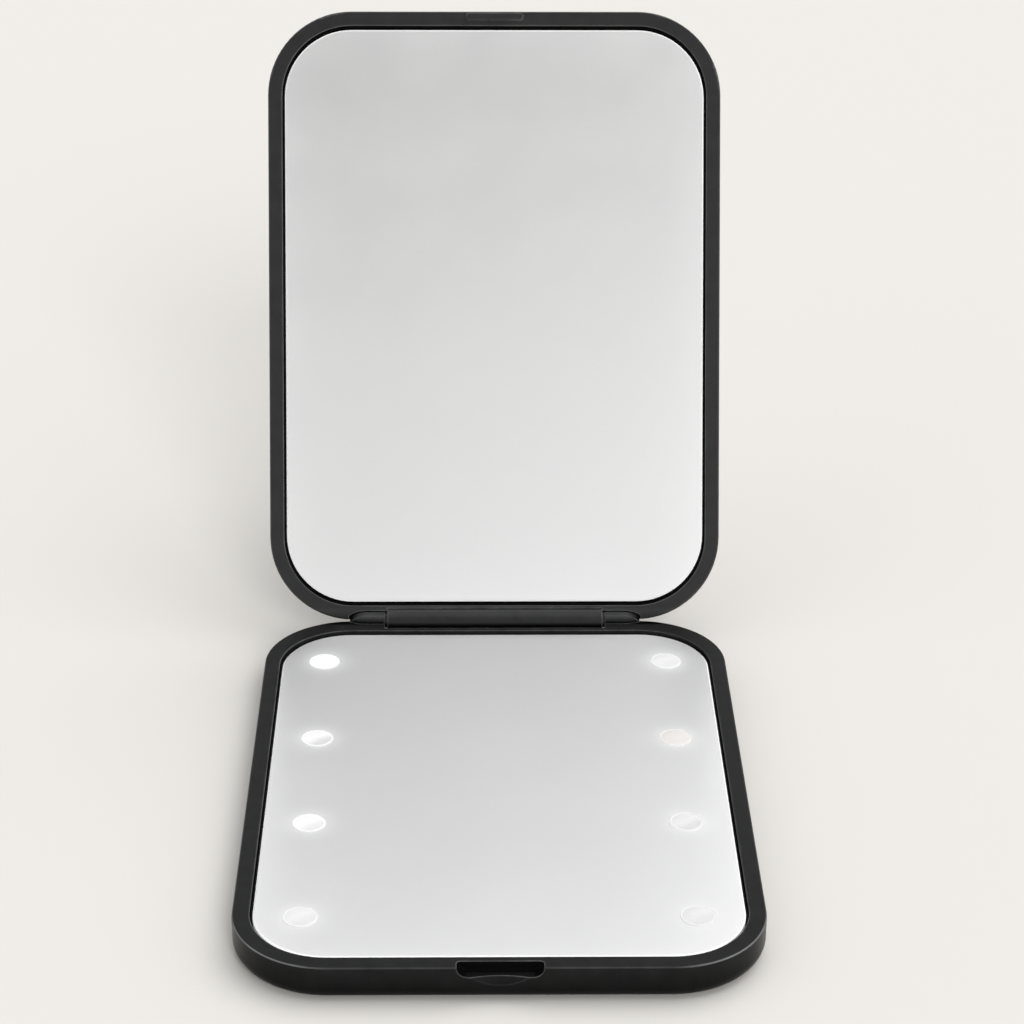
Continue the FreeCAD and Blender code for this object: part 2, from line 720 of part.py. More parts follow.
def lid_shell():
    """Upper casing with the hinge barrel, the relief round the ears and the tab."""
    body = half_shell(lid_rim)
    for relief in both_sides(turned_ear(barrel_half_length, ear_relief, 0)):
        body = body.cut(relief)
    crease = rod(-barrel_half_length, barrel_half_length, hinge_y, hinge_z, barrel_radius + barrel_crease)
    crease_low = half_thickness - 2 * barrel_crease
    body = body.cut(crease.common(box(-half_x, half_x, 0, hinge_y, crease_low, half_thickness + 1)))
    barrel = rod(-barrel_half_length, barrel_half_length, hinge_y, hinge_z, barrel_radius)
    barrel = barrel.makeChamfer(barrel_edge, [e for e in barrel.Edges if e.BoundBox.XLength < 1e-6])
    y_low = -half_y + tab_from_edge
    tab = plate(tab_half_width, y_low, y_low + tab_depth, tab_corner, half_thickness - tab_root,
                half_thickness + tab_height)
    tab = tab.makeFillet(tab_edge, edges_at(tab, half_thickness + tab_height))
    body = fuse(body, barrel, tab)
    body = body.cut(rod(-barrel_half_length - 1, barrel_half_length + 1, hinge_y, hinge_z,
                        pin_radius + barrel_bore_clearance))
    for side in (-1, 1):
        low, high = sorted((side * (barrel_half_length - sleeve_length), side * (barrel_half_length + 1)))
        body = body.cut(rod(low, high, hinge_y, hinge_z, sleeve_radius + pin_press))
    body = fuse(body, *bosses(lid_screws()), *magnet_pockets(), *lid_stiffeners())
    for hole in pilot_holes(lid_screws()):
        body = body.cut(hole)
    return body


def hinge_sleeve(side):
    """Split spring sleeve in the barrel's end: it grips the pin and holds the lid where it is put."""
    inner = barrel_half_length - sleeve_length + sleeve_end_clearance
    outer = barrel_half_length - sleeve_end_clearance
    low, high = sorted((side * inner, side * outer))
    tube = rod(low, high, hinge_y, hinge_z, sleeve_radius)
    tube = tube.cut(rod(low - 1, high + 1, hinge_y, hinge_z, pin_radius + sleeve_running))
    slit = box(low - 1, high + 1, hinge_y - sleeve_slit / 2, hinge_y + sleeve_slit / 2, hinge_z - 2, hinge_z)
    return tube.cut(slit)


def hinge_washer(side):
    """Thin plastic washer that fills the space between the barrel and an ear."""
    near = side * (barrel_half_length + washer_clearance)
    far = side * (ear_inner - washer_clearance)
    low, high = sorted((near, far))
    ring = rod(low, high, hinge_y, hinge_z, ear_radius - washer_inset)
    return ring.cut(rod(low - 1, high + 1, hinge_y, hinge_z, pin_radius + washer_clearance))


def hinge_pin():
    """Steel pin with broken edges; the ears are sprung apart to take it, and it is pressed into both."""
    pin = rod(-pin_half_length, pin_half_length, hinge_y, hinge_z, pin_radius)
    return pin.makeChamfer(pin_edge, [e for e in pin.Edges if e.BoundBox.XLength < 1e-6])


def stand_open(shape):
    """Turns a lid piece over onto the base, then opens it about the hinge axis."""
    placed = shape.copy()
    placed.rotate(V(0, 0, hinge_z), V(0, 1, 0), 180)
    placed.rotate(V(0, hinge_y, hinge_z), V(-1, 0, 0), open_angle)
    return placed


def all_parts():
    """Every node's name and shape, in the part's frame."""
    parts = {
        "base_shell": base_shell(),
        "base_tray": base_tray(),
        "base_tape": base_tape(),
        "base_mirror": base_glass(),
        "base_tray_screws": screws_at(base_screws()),
        "lamp_board": lamp_board(),
        "resistors": resistors(),
        "magnet_sensor": magnet_sensor(),
        "coin_cell_left": coin_cell(-1),
        "coin_cell_right": coin_cell(1),
        "cell_spring_left": cell_spring(-1),
        "cell_spring_right": cell_spring(1),
        "cell_clip": cell_clip(),
        "keeper_left": magnet(-1),
        "keeper_right": magnet(1),
        "battery_door": battery_door(),
        "door_pad": door_pad(),
        "hinge_pin": hinge_pin(),
        "hinge_washer_left": hinge_washer(-1),
        "hinge_washer_right": hinge_washer(1),
    }
    for number, (x, y) in enumerate(lamp_places(), 1):
        parts[f"lamp_lens_{number}"] = lens(x, y)
        parts[f"lamp_chip_{number}"] = lamp_chip(x, y)
    lid = {
        "lid_shell": lid_shell(),
        "lid_tray": tray(lid_rim, lid_screws()),
        "lid_tape": tape(lid_rim, lid_screws()),
        "lid_mirror": glass(lid_rim),
        "lid_tray_screws": screws_at(lid_screws()),
        "lid_magnet_left": magnet(-1),
        "lid_magnet_right": magnet(1),
        "hinge_sleeve_left": hinge_sleeve(-1),
        "hinge_sleeve_right": hinge_sleeve(1),
    }
    parts.update({name: stand_open(shape) for name, shape in lid.items()})
    return parts


os.makedirs("parts", exist_ok=True)
for node, solid in all_parts().items():
    solid.exportStep(f"parts/{node}.step")
    count = len(solid.Solids)
    print(f"{node:20s} solids {count}  volume {solid.Volume:9.3f} mm3  valid {solid.isValid()}")
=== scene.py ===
"""Looks of a folding compact mirror: the finishes, small trim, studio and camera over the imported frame.

Everything is in metres, in the frame of the CAD model: the origin is the centre of the base's underside,
+X runs to the user's right, +Y to the hinge and +Z up.
"""

import sys

import json
import logging
import math
from dataclasses import dataclass
from enum import Enum
from typing import Any

import bmesh
import bpy
from mathutils import Matrix, Vector

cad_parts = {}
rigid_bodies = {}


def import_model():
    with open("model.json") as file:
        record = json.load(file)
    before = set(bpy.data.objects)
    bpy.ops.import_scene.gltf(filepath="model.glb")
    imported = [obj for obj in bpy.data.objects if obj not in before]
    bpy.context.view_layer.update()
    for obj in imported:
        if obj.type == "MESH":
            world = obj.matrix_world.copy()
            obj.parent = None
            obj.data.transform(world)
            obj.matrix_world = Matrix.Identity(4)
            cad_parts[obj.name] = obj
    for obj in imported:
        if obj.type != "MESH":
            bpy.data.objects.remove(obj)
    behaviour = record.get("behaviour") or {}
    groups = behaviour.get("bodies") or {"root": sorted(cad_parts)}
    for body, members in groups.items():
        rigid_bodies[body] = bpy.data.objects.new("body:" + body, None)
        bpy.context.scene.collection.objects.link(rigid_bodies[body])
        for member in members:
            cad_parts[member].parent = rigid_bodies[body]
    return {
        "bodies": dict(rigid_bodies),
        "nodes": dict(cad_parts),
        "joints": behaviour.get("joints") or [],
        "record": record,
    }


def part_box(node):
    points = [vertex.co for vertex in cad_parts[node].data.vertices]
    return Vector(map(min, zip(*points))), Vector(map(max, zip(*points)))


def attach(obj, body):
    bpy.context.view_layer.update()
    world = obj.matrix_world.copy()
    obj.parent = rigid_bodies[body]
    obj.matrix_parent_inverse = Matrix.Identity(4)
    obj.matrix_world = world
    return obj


log = logging.getLogger("compact_mirror")

MM = 0.001
UP = (0.0, 0.0, 1.0)
WHITE = (1.0, 1.0, 1.0, 1.0)
WELD = 0.0001 * MM

Socket = bpy.types.NodeSocket
Pair = tuple[float, float]
Triple = tuple[float, float, float]
Feed = Socket | float | tuple[float, ...]


class Half(Enum):
    """The two halves of the case, by the body that each rides on."""

    BASE = "base"
    LID = "lid"


class Slot(Enum):
    """Material slots of the record, named with each new piece."""

    TRAY = "tray_plastic"
    CASING = "casing_plastic"
    LENS = "lens_milky"
    LAMP = "lamp_body"
    CONTACT = "contact_metal"


# ---- node trees ----
class NodeCalls:
    """Nodes of a finish, a shape or the sky, added and linked by short calls."""

    def __init__(self, tree: bpy.types.NodeTree) -> None:
        """Take the tree that the nodes go into."""
        self.nodes, self.links = tree.nodes, tree.links

    def feed(self, socket: Socket, value: Any) -> None:
        """Link a socket if the value is one, and set what it holds otherwise.

        Args:
            socket: Input socket to fill.
            value: Output socket, number, tuple or material.
        """
        if isinstance(value, Socket):
            self.links.new(value, socket)
        else:
            socket.default_value = value

    def fill(self, node: bpy.types.Node, values: dict[str, Any]) -> None:
        """Fill sockets by their names, in which an underscore stands for a space."""
        for label, value in values.items():
            self.feed(node.inputs[label.replace("_", " ")], value)

    def add(self, kind: str, **values: Any) -> bpy.types.Node:
        """Add a node.

        Args:
            kind: Type of the node.
            values: Socket names and what goes into them.

        Returns:
            The node.
        """
        node = self.nodes.new(kind)
        self.fill(node, values)
        return node

    def first(self, kind: str, **values: Any) -> Socket:
        """Add a node in the same way, and give its first output."""
        return self.add(kind, **values).outputs[0]

    def operate(self, kind: str, operation: str, *values: Any) -> bpy.types.Node:
        """Add a node of arithmetic.

        Args:
            kind: Type of the node.
            operation: Operation, such as "MULTIPLY".
            values: What goes into its sockets, in their order.

        Returns:
            The node.
        """
        node = self.nodes.new(kind)
        node.operation = operation
        for socket, value in zip(node.inputs, values):
            self.feed(socket, value)
        return node

    def calc(self, operation: str, a: Feed, b: Feed = 0.0, c: Feed = 0.0) -> Socket:
        """Result of an operation on up to three numbers."""
        return self.operate("ShaderNodeMath", operation, a, b, c).outputs[0]

    def plus(self, a: Feed, b: Feed) -> Socket:
        """Sum of two numbers."""
        return self.calc("ADD", a, b)

    def minus(self, a: Feed, b: Feed) -> Socket:
        """Difference of two numbers."""
        return self.calc("SUBTRACT", a, b)

    def times(self, a: Feed, b: Feed) -> Socket:
        """Product of two numbers."""
        return self.calc("MULTIPLY", a, b)

    def length(self, a: Feed, b: Feed) -> Socket:
        """Length of a vector by its two parts."""
        return self.calc("SQRT", self.plus(self.times(a, a), self.times(b, b)))

    def dot(self, a: Feed, b: Feed) -> Socket:
        """Dot product of two vectors, such as the part of one along an axis."""
        return self.operate("ShaderNodeVectorMath", "DOT_PRODUCT", a, b).outputs["Value"]

    def remap(self, value: Feed, low: float, high: float, to_low: Feed, to_high: Feed,
              smooth: bool = False) -> Socket:
        """Map a number from one range to another, and hold it at the ends.

        Args:
            value: Number to map.
            low: Start of its range.
            high: End of its range.
            to_low: Result at the start.
            to_high: Result at the end.
            smooth: Whether the ends are eased.

        Returns:
            The mapped number.
        """
        node = self.add("ShaderNodeMapRange", Value=value, From_Min=low, From_Max=high, To_Min=to_low,
                        To_Max=to_high)
        node.interpolation_type = "SMOOTHSTEP" if smooth else "LINEAR"
        return node.outputs["Result"]


class Graph(NodeCalls):
    """Shader nodes of one finish."""

    def __init__(self, name: str) -> None:
        """Start a finish with a Principled shader.

        Args:
            name: Name of the material.
        """
        self.material = bpy.data.materials.new(name)
        self.material.use_nodes = True
        super().__init__(self.material.node_tree)
        self.nodes.clear()
        self.shader = self.add("ShaderNodeBsdfPrincipled")
        self.add("ShaderNodeOutputMaterial", Surface=self.shader.outputs["BSDF"])
        coordinates = self.add("ShaderNodeTexCoord")
        self.place = coordinates.outputs["Object"]
        self.facing = coordinates.outputs["Normal"]

    def set(self, **values: Feed) -> None:
        """Fill the shader's sockets."""
        self.fill(self.shader, values)

    def turned(self, turn: float) -> Socket:
        """Object coordinates turned about X."""
        return self.first("ShaderNodeMapping", Vector=self.place, Rotation=(turn, 0.0, 0.0))

    def split(self, vector: Socket) -> tuple[Socket, ...]:
        """The three parts of a vector."""
        return tuple(self.add("ShaderNodeSeparateXYZ", Vector=vector).outputs)

    def about(self, centre: Pair) -> tuple[Socket, ...]:
        """X and Y from a centre, and Z."""
        away = (-centre[0], -centre[1], 0.0)
        return self.split(self.first("ShaderNodeMapping", Vector=self.place, Location=away))

    def noise(self, place: Socket, grain: float, detail: float = 2.0, roughness: float = 0.5,
              stretch: Triple | None = None) -> Socket:
        """Cloudy noise between 0 and 1.

        Args:
            place: Coordinates.
            grain: Size of the clouds, in metres.
            detail: Number of finer layers.
            roughness: Strength of the finer layers.
            stretch: Scale of the coordinates along each axis, if they are stretched.

        Returns:
            The noise.
        """
        if stretch is not None:
            place = self.first("ShaderNodeMapping", Vector=place, Scale=stretch)
        node = self.add("ShaderNodeTexNoise", Vector=place, Scale=1.0 / grain, Detail=detail,
                        Roughness=roughness)
        return node.outputs["Fac"]

    def spread(self, noise: Socket, to_low: Feed, to_high: Feed) -> Socket:
        """Noise with its usual range spread from one number to another."""
        return self.remap(noise, 0.3, 0.7, to_low, to_high)

    def around(self, noise: Socket, middle: float, reach: float) -> Socket:
        """Noise spread evenly about a number."""
        return self.spread(noise, middle - reach, middle + reach)

    def cells(self, place: Socket, grain: float) -> Socket:
        """Distance to points that are scattered at a spacing in metres, from 0 at each."""
        return self.add("ShaderNodeTexVoronoi", Vector=place, Scale=1.0 / grain).outputs["Distance"]

    def blend(self, factor: Feed, first: Feed, second: Feed) -> Socket:
        """Mix two colours.

        Args:
            factor: 0 for the first colour, 1 for the second.
            first: First colour.
            second: Second colour.

        Returns:
            The mixed colour.
        """
        node = self.nodes.new("ShaderNodeMix")
        node.data_type = "RGBA"
        for index, value in ((0, factor), (6, first), (7, second)):
            self.feed(node.inputs[index], value)
        return node.outputs[2]

    def grey(self, value: Socket, warmth: float = 1.0) -> Socket:
        """Grey of a brightness; the warmth is its blue part over its red part."""
        green, blue = self.times(value, (1.0 + warmth) / 2), self.times(value, warmth)
        return self.first("ShaderNodeCombineColor", Red=value, Green=green, Blue=blue)

    def bump(self, height: Socket, depth: float, strength: float = 1.0) -> Socket:
        """Normal of a fine relief, by its height, its depth in metres and the share that shows."""
        return self.first("ShaderNodeBump", Height=height, Distance=depth, Strength=strength)

    def edges(self, radius: float, low: float = 0.01, high: float = 0.12) -> Socket:
        """Mask of the sharp edges.

        Args:
            radius: Reach from an edge, in metres.
            low: Turn of the normal that starts to count.
            high: Turn that counts in full.

        Returns:
            0 on flat faces and 1 on edges.
        """
        bevel = self.add("ShaderNodeBevel", Radius=radius)
        bevel.samples = 4
        surface = self.add("ShaderNodeNewGeometry").outputs["Normal"]
        return self.remap(self.minus(1.0, self.dot(bevel.outputs[0], surface)), low, high, 0.0, 1.0)

    def along(self, axis: Triple, low: float, high: float) -> Socket:
        """Mask of the faces that point along an axis, by the cosines that give 0 and 1."""
        return self.remap(self.dot(self.facing, axis), low, high, 0.0, 1.0)

    def within(self, value: Socket, low: float, high: float, soft: float) -> Socket:
        """Mask of a stretch of a number, with ends of a given softness."""
        return self.times(self.remap(value, low - soft, low, 0.0, 1.0),
                          self.remap(value, high, high + soft, 1.0, 0.0))


# ---- finishes ----
@dataclass(frozen=True)
class Finish:
    """Look of a material."""

    name: str

    def make(self) -> bpy.types.Material:
        """Build the material.

        Returns:
            The material.
        """
        g = Graph(self.name)
        self.shade(g)
        return g.material

    def shade(self, g: Graph) -> None:
        """Add the nodes of the look; each finish has its own."""
        raise NotImplementedError


@dataclass(frozen=True)
class PaintedEdgeHighlight:
    """Painted highlight along the small round at a half's parting face, brightest at the front corners.

    It stops short of the hinge.
    """

    axis: Triple
    level: float
    hinge: Pair
    tone: float = 0.035
    corner_tone: float = 0.0
    depth: float = 0.3 * MM
    hinge_reach: float = 2.1 * MM
    soft: float = 0.06 * MM
    corner_side: Pair = (20.0 * MM, 26.0 * MM)
    corner_front: Pair = (-35.5 * MM, -31.0 * MM)
    facing_start: Pair = (0.2, 0.5)
    facing_end: Pair = (0.85, 0.97)

    def add(self, g: Graph) -> Socket:
        """Brightness that the painted highlight adds.

        Args:
            g: Graph of the casing.

        Returns:
            The added tone.
        """
        not_flat = g.minus(1.0, g.along(self.axis, *self.facing_end))
        turned = g.times(g.along(self.axis, *self.facing_start), not_flat)
        near = g.within(g.dot(g.place, self.axis), self.level - self.depth, self.level, self.soft)
        x, y, z = g.split(g.place)
        from_hinge = g.length(g.minus(y, self.hinge[0]), g.minus(z, self.hinge[1]))
        clear = g.remap(from_hinge, self.hinge_reach - self.soft, self.hinge_reach, 0.0, self.tone)
        side = g.remap(g.calc("ABSOLUTE", x), *self.corner_side, 0.0, 1.0, smooth=True)
        corner = g.times(side, g.remap(y, *self.corner_front, self.corner_tone, 0.0, smooth=True))
        return g.times(g.times(turned, near), g.plus(clear, corner))


@dataclass(frozen=True)
class PaintedRecessShade:
    """Inside of the thumb notch: painted shade, and the rougher grain of the tool."""

    half_width: float
    front: float
    back: float
    low: float
    high: float
    soft: float = 0.1 * MM
    darkening: float = 0.1
    roughening: float = 0.4

    def mask(self, g: Graph) -> Socket:
        """Mask of the faces inside the notch.

        Args:
            g: Graph of the casing.

        Returns:
            1 inside the notch.
        """
        x, y, z = g.split(g.place)
        inside = g.within(x, -self.half_width, self.half_width, self.soft)
        inside = g.times(inside, g.within(y, self.front, self.back, self.soft))
        return g.times(inside, g.within(z, self.low, self.high, self.soft))


@dataclass(frozen=True)
class PaintedKnuckleShading:
    """Painted light and shade on the hinge barrel and ears: lighter on top and dark underneath."""

    hinge: Pair
    reach: float
    top_tone: float
    low_tone: float = 0.0005
    top: float = 1.2 * MM
    low: float = 0.2 * MM
    soft: float = 0.05 * MM

    def blend(self, g: Graph, tone: Socket) -> Socket:
        """Put the painted light and shade of the hinge barrel and ears over the casing's tone.

        Args:
            g: Graph of the casing.
            tone: Tone of the casing.

        Returns:
            The tone with the knuckles.
        """
        _, y, z = g.split(g.place)
        rise = g.minus(z, self.hinge[1])
        reach = g.length(g.minus(y, self.hinge[0]), rise)
        near = g.remap(reach, self.reach - self.soft, self.reach, 1.0, 0.0)
        knuckle = g.remap(rise, self.low, self.top, self.low_tone, self.top_tone)
        return g.remap(near, 0.0, 1.0, tone, knuckle)


@dataclass(frozen=True)
class MouldedBlack(Finish):
    """Matte black moulding with spark-eroded grain, faint flow clouds, edge wear with a painted highlight,
    and painted light and shade where set.
    """

    axis: Triple = UP
    tone: float = 0.011
    rim_tone: float = 0.0085
    wear_and_sheen_tone: float = 0.13
    specular: float = 0.07
    roughness: float = 0.45
    wall_roughness: float = 0.29
    grain: float = 0.13 * MM
    grain_depth: float = 0.002 * MM
    cloud: float = 2.4 * MM
    edge_reach: float = 0.2 * MM
    rim_facing: Pair = (0.5, 0.95)
    cloud_tone: Pair = (0.8, 1.22)
    cloud_roughness: Pair = (-0.01, 0.03)
    pit_tone: Pair = (0.96, 1.04)
    patchy_wear_and_sheen: Pair = (0.45, 1.0)
    warmth: float = 1.03
    turn: float = 0.0
    ground_shade_height: float = 0.0
    edge_highlight: PaintedEdgeHighlight | None = None
    recess_shade: PaintedRecessShade | None = None
    knuckle_shading: PaintedKnuckleShading | None = None

    def shade(self, g: Graph) -> None:
        """Add the nodes of the look.

        Args:
            g: Graph of the material.
        """
        place = g.turned(self.turn)
        clouds = g.noise(place, self.cloud, 4.0, 0.55)
        pits = g.noise(place, self.grain, 2.0, 0.6)
        face = g.along(self.axis, *self.rim_facing)
        tone = g.remap(face, 0.0, 1.0, self.tone, self.rim_tone)
        rough = g.remap(face, 0.0, 1.0, self.wall_roughness, self.roughness)
        # Painted shade: the tone darkens towards the underside.
        if self.ground_shade_height > 0.0:
            tone = g.times(tone, g.remap(g.dot(g.place, self.axis), 0.0, self.ground_shade_height, 0.0, 1.0))
        # Painted light on top of the hinge barrel and ears, and painted shade underneath.
        if self.knuckle_shading is not None:
            tone = self.knuckle_shading.blend(g, tone)
        # Painted highlight along the parting round, brightest at the front corners.
        if self.edge_highlight is not None:
            tone = g.plus(tone, self.edge_highlight.add(g))
        # Painted shade inside the thumb notch, which is also rougher.
        if self.recess_shade is not None:
            inside = self.recess_shade.mask(g)
            tone = g.times(tone, g.remap(inside, 0.0, 1.0, 1.0, self.recess_shade.darkening))
            rough = g.plus(rough, g.times(inside, self.recess_shade.roughening))
        tone = g.times(tone, g.spread(clouds, *self.cloud_tone))
        tone = g.times(tone, g.spread(pits, *self.pit_tone))
        # Edge wear and a painted highlight on the sharp edges.
        wear_and_sheen = g.times(g.edges(self.edge_reach), g.remap(clouds, 0.35, 0.65, *self.patchy_wear_and_sheen))
        g.set(Base_Color=g.blend(wear_and_sheen, g.grey(tone, self.warmth), (self.wear_and_sheen_tone,) * 3 + (1.0,)),
              Roughness=g.plus(rough, g.spread(clouds, *self.cloud_roughness)),
              Specular_IOR_Level=self.specular,
              Normal=g.bump(pits, self.grain_depth))


@dataclass(frozen=True)
class TrayBlack(Finish):
    """Semi-matte black of the carriers behind the glass, darker than the casing."""

    tone: float = 0.0015
    roughness: float = 0.5
    cloud: float = 1.6 * MM
    cloud_tone: Pair = (0.8, 1.25)
    drag: float = 0.3 * MM
    drag_stretch: Triple = (1.0, 1.0, 6.0)
    drag_roughness: float = 0.06
    drag_depth: float = 0.004 * MM
    specular: float = 0.05

    def shade(self, g: Graph) -> None:
        """Add the nodes of the look.

        Args:
            g: Graph of the material.
        """
        clouds = g.noise(g.place, self.cloud, 3.0)
        drag = g.noise(g.place, self.drag, 2.0, 0.5, self.drag_stretch)
        tone = g.spread(clouds, *(self.tone * share for share in self.cloud_tone))
        g.set(Base_Color=g.grey(tone),
              Roughness=g.around(drag, self.roughness, self.drag_roughness),
              Specular_IOR_Level=self.specular,
              Normal=g.bump(drag, self.drag_depth))


@dataclass(frozen=True)
class Halo:
    """Glow of the lamps on the glass round them."""

    column: float
    first_row: float
    pitch: float
    reach: float = 2.65 * MM
    left: Pair = (0.15, 0.29)
    right: Pair = (0.07, 0.31)
    rows: int = 4

    def glow(self, g: Graph) -> Socket:
        """Brightness by the distance to the nearest lamp.

        Args:
            g: Graph of the glass.

        Returns:
            The added light.
        """
        x, y, _ = g.split(g.place)
        across = g.minus(g.calc("ABSOLUTE", x), self.column)
        from_row = g.minus(y, self.first_row)
        along = g.calc("WRAP", from_row, self.pitch / 2, -self.pitch / 2)
        square = g.plus(g.times(across, across), g.times(along, along))
        fall = g.calc("EXPONENT", g.times(square, -1.0 / self.reach ** 2))
        last_row = self.first_row + (self.rows - 1) * self.pitch
        left, right = (g.remap(y, self.first_row, last_row, *ends) for ends in (self.left, self.right))
        return g.times(fall, g.remap(x, -self.column, self.column, left, right))


@dataclass(frozen=True)
class Border:
    """Light that the ground edge scatters into the film, strongest along the glass's outline."""

    axis: Triple
    middle: float
    half_width: float
    half_length: float
    corner: float
    strength: float
    reach: float

    def glow(self, g: Graph) -> Socket:
        """Brightness by the distance to the outline.

        Args:
            g: Graph of the glass.

        Returns:
            The added light.
        """
        x, _, _ = g.split(g.place)
        across = g.minus(g.calc("ABSOLUTE", x), self.half_width - self.corner)
        from_middle = g.minus(g.dot(g.place, self.axis), self.middle)
        along = g.minus(g.calc("ABSOLUTE", from_middle), self.half_length - self.corner)
        round_the_corner = g.length(g.calc("MAXIMUM", across, 0.0), g.calc("MAXIMUM", along, 0.0))
        straight = g.calc("MINIMUM", g.calc("MAXIMUM", across, along), 0.0)
        depth = g.minus(g.minus(self.corner, round_the_corner), straight)
        fall = g.calc("EXPONENT", g.times(depth, -1.0 / self.reach))
        return g.times(fall, self.strength)


@dataclass(frozen=True)
class Silvering(Finish):
    """Back-silvered glass with a satin film, faint smears and a bright ground bevel, with a painted
    reflection that is darker towards the rear and left, and painted glow on the bevel, round the lamps,
    along the outline and towards the right and front.
    """

    axis: Triple
    silver: float = 0.94
    roughness: float = 0.42
    facing: Pair = (0.9, 0.98)
    film: float = 9.0 * MM
    film_tone: float = 0.004
    film_roughness: float = 0.02
    grit: float = 0.6 * MM
    grit_tone: Pair = (-0.003, 0.003)
    grit_depth: float = 0.0008 * MM
    grit_strength: float = 0.4
    bevel_tone: Pair = (0.9, 0.95)
    bevel_roughness: float = 0.12
    bevel_glow: float = 0.12
    glow_warmth: float = 1.04
    coat: float = 0.15
    coat_roughness: float = 0.08
    rear_painted_shade: float = 0.0
    left_painted_shade: float = 0.0
    right_glow: float = 0.0
    front_glow: float = 0.0
    rear: Pair = (-8.0 * MM, 38.0 * MM)
    left: Pair = (-26.0 * MM, 6.0 * MM)
    right: Pair = (6.0 * MM, 26.0 * MM)
    front: Pair = (-42.0 * MM, -12.0 * MM)
    halo: Halo | None = None
    border: Border | None = None

    def shade(self, g: Graph) -> None:
        """Add the nodes of the look.

        Args:
            g: Graph of the material.
        """
        face = g.along(self.axis, *self.facing)
        film = g.noise(g.place, self.film, 4.0, 0.6)
        grit = g.noise(g.place, self.grit, 3.0, 0.65)
        silver = g.around(film, self.silver, self.film_tone)
        silver = g.plus(silver, g.spread(grit, *self.grit_tone))
        x, y, _ = g.split(g.place)
        # Painted reflection: the silver darkens towards the rear and the left.
        silver = g.minus(silver, g.remap(y, *self.rear, 0.0, self.rear_painted_shade, smooth=True))
        silver = g.minus(silver, g.remap(x, *self.left, self.left_painted_shade, 0.0, smooth=True))
        ground = g.grey(g.spread(grit, *self.bevel_tone))
        rough = g.around(film, self.roughness, self.film_roughness)
        edge = g.minus(1.0, face)
        g.set(Base_Color=g.blend(edge, g.grey(silver), ground),
              Metallic=face,
              Roughness=g.plus(rough, g.times(edge, self.bevel_roughness)),
              Coat_Weight=self.coat,
              Coat_Roughness=self.coat_roughness,
              Normal=g.bump(grit, self.grit_depth, self.grit_strength))
        # Painted glow: on the ground bevel, round the lamps, along the outline, and towards the right and
        # front.
        glow = g.times(edge, self.bevel_glow)
        for light in (self.halo, self.border):
            if light is not None:
                glow = g.plus(glow, g.times(light.glow(g), face))
        glow = g.plus(glow, g.remap(x, *self.right, 0.0, self.right_glow, smooth=True))
        glow = g.plus(glow, g.remap(y, *self.front, self.front_glow, 0.0, smooth=True))
        g.set(Emission_Color=g.grey(glow, self.glow_warmth), Emission_Strength=1.0)


@dataclass(frozen=True)
class MilkyLens(Finish):
    """Diffusing lens over a lit lamp: brightest towards the rear left, with painted shade towards the front
    right and a paler rim.
    """

    centre: Pair
    radius: float
    glow: float
    fall: float
    rim_glow: float
    warmth: float = 1.0
    tone: float = 0.5
    lean: Pair = (0.6, -0.8)
    painted_dish_shade: Pair = (-0.15, 0.75)
    rim: Pair = (0.84, 0.95)
    haze: float = 0.5 * MM
    haze_tone: float = 0.015
    haze_roughness: Pair = (0.34, 0.42)
    haze_depth: float = 0.002 * MM

    def shade(self, g: Graph) -> None:
        """Add the nodes of the look.

        Args:
            g: Graph of the material.
        """
        x, y, _ = g.about(self.centre)
        out = g.calc("DIVIDE", g.length(x, y), self.radius)
        slope = g.calc("DIVIDE", g.plus(g.times(x, self.lean[0]), g.times(y, self.lean[1])), self.radius)
        # Painted shade: a crescent towards the front right of each lens.
        painted_dish_shade = g.remap(slope, *self.painted_dish_shade, 0.0, 1.0, smooth=True)
        light = g.minus(self.glow, g.times(painted_dish_shade, self.fall))
        rim = g.remap(out, *self.rim, 0.0, 1.0, smooth=True)
        light = g.remap(rim, 0.0, 1.0, light, self.rim_glow)
        haze = g.noise(g.place, self.haze, 3.0)
        g.set(Base_Color=g.grey(g.around(haze, self.tone, self.haze_tone), self.warmth),
              Roughness=g.spread(haze, *self.haze_roughness),
              Emission_Color=g.grey(light, self.warmth),
              Emission_Strength=1.0,
              Normal=g.bump(haze, self.haze_depth))


@dataclass(frozen=True)
class Metal(Finish):
    """Plated or drawn metal with marks along one way, or in rings about a centre."""

    colour: Triple
    roughness: float
    marks: float = 0.12 * MM
    stretch: Triple = (1.0, 1.0, 1.0)
    rings_about: Pair | None = None
    tarnish: float = 0.12
    stain: float = 3.0 * MM
    stained: float = 0.6
    drift: float = 1.5 * MM
    mark_roughness: float = 0.06
    mark_depth: float = 0.003 * MM

    def shade(self, g: Graph) -> None:
        """Add the nodes of the look.

        Args:
            g: Graph of the material.
        """
        if self.rings_about is None:
            marks = g.noise(g.place, self.marks, 3.0, 0.6, self.stretch)
        else:
            x, y, _ = g.about(self.rings_about)
            turn = g.calc("SINE", g.times(g.length(x, y), math.tau / self.marks))
            drift = g.noise(g.place, self.drift, 3.0)
            marks = g.remap(g.plus(turn, g.times(drift, 2.0)), -1.0, 3.0, 0.25, 0.75)
        stain = g.noise(g.place, self.stain, 4.0, 0.6)
        dull = tuple(part * (1.0 - self.tarnish * 2) for part in self.colour) + (1.0,)
        g.set(Base_Color=g.blend(g.remap(stain, 0.35, 0.7, 0.0, self.stained), self.colour + (1.0,), dull),
              Metallic=1.0,
              Roughness=g.plus(g.around(marks, self.roughness, self.mark_roughness),
                               g.remap(stain, 0.4, 0.7, 0.0, self.tarnish)),
              Normal=g.bump(marks, self.mark_depth))


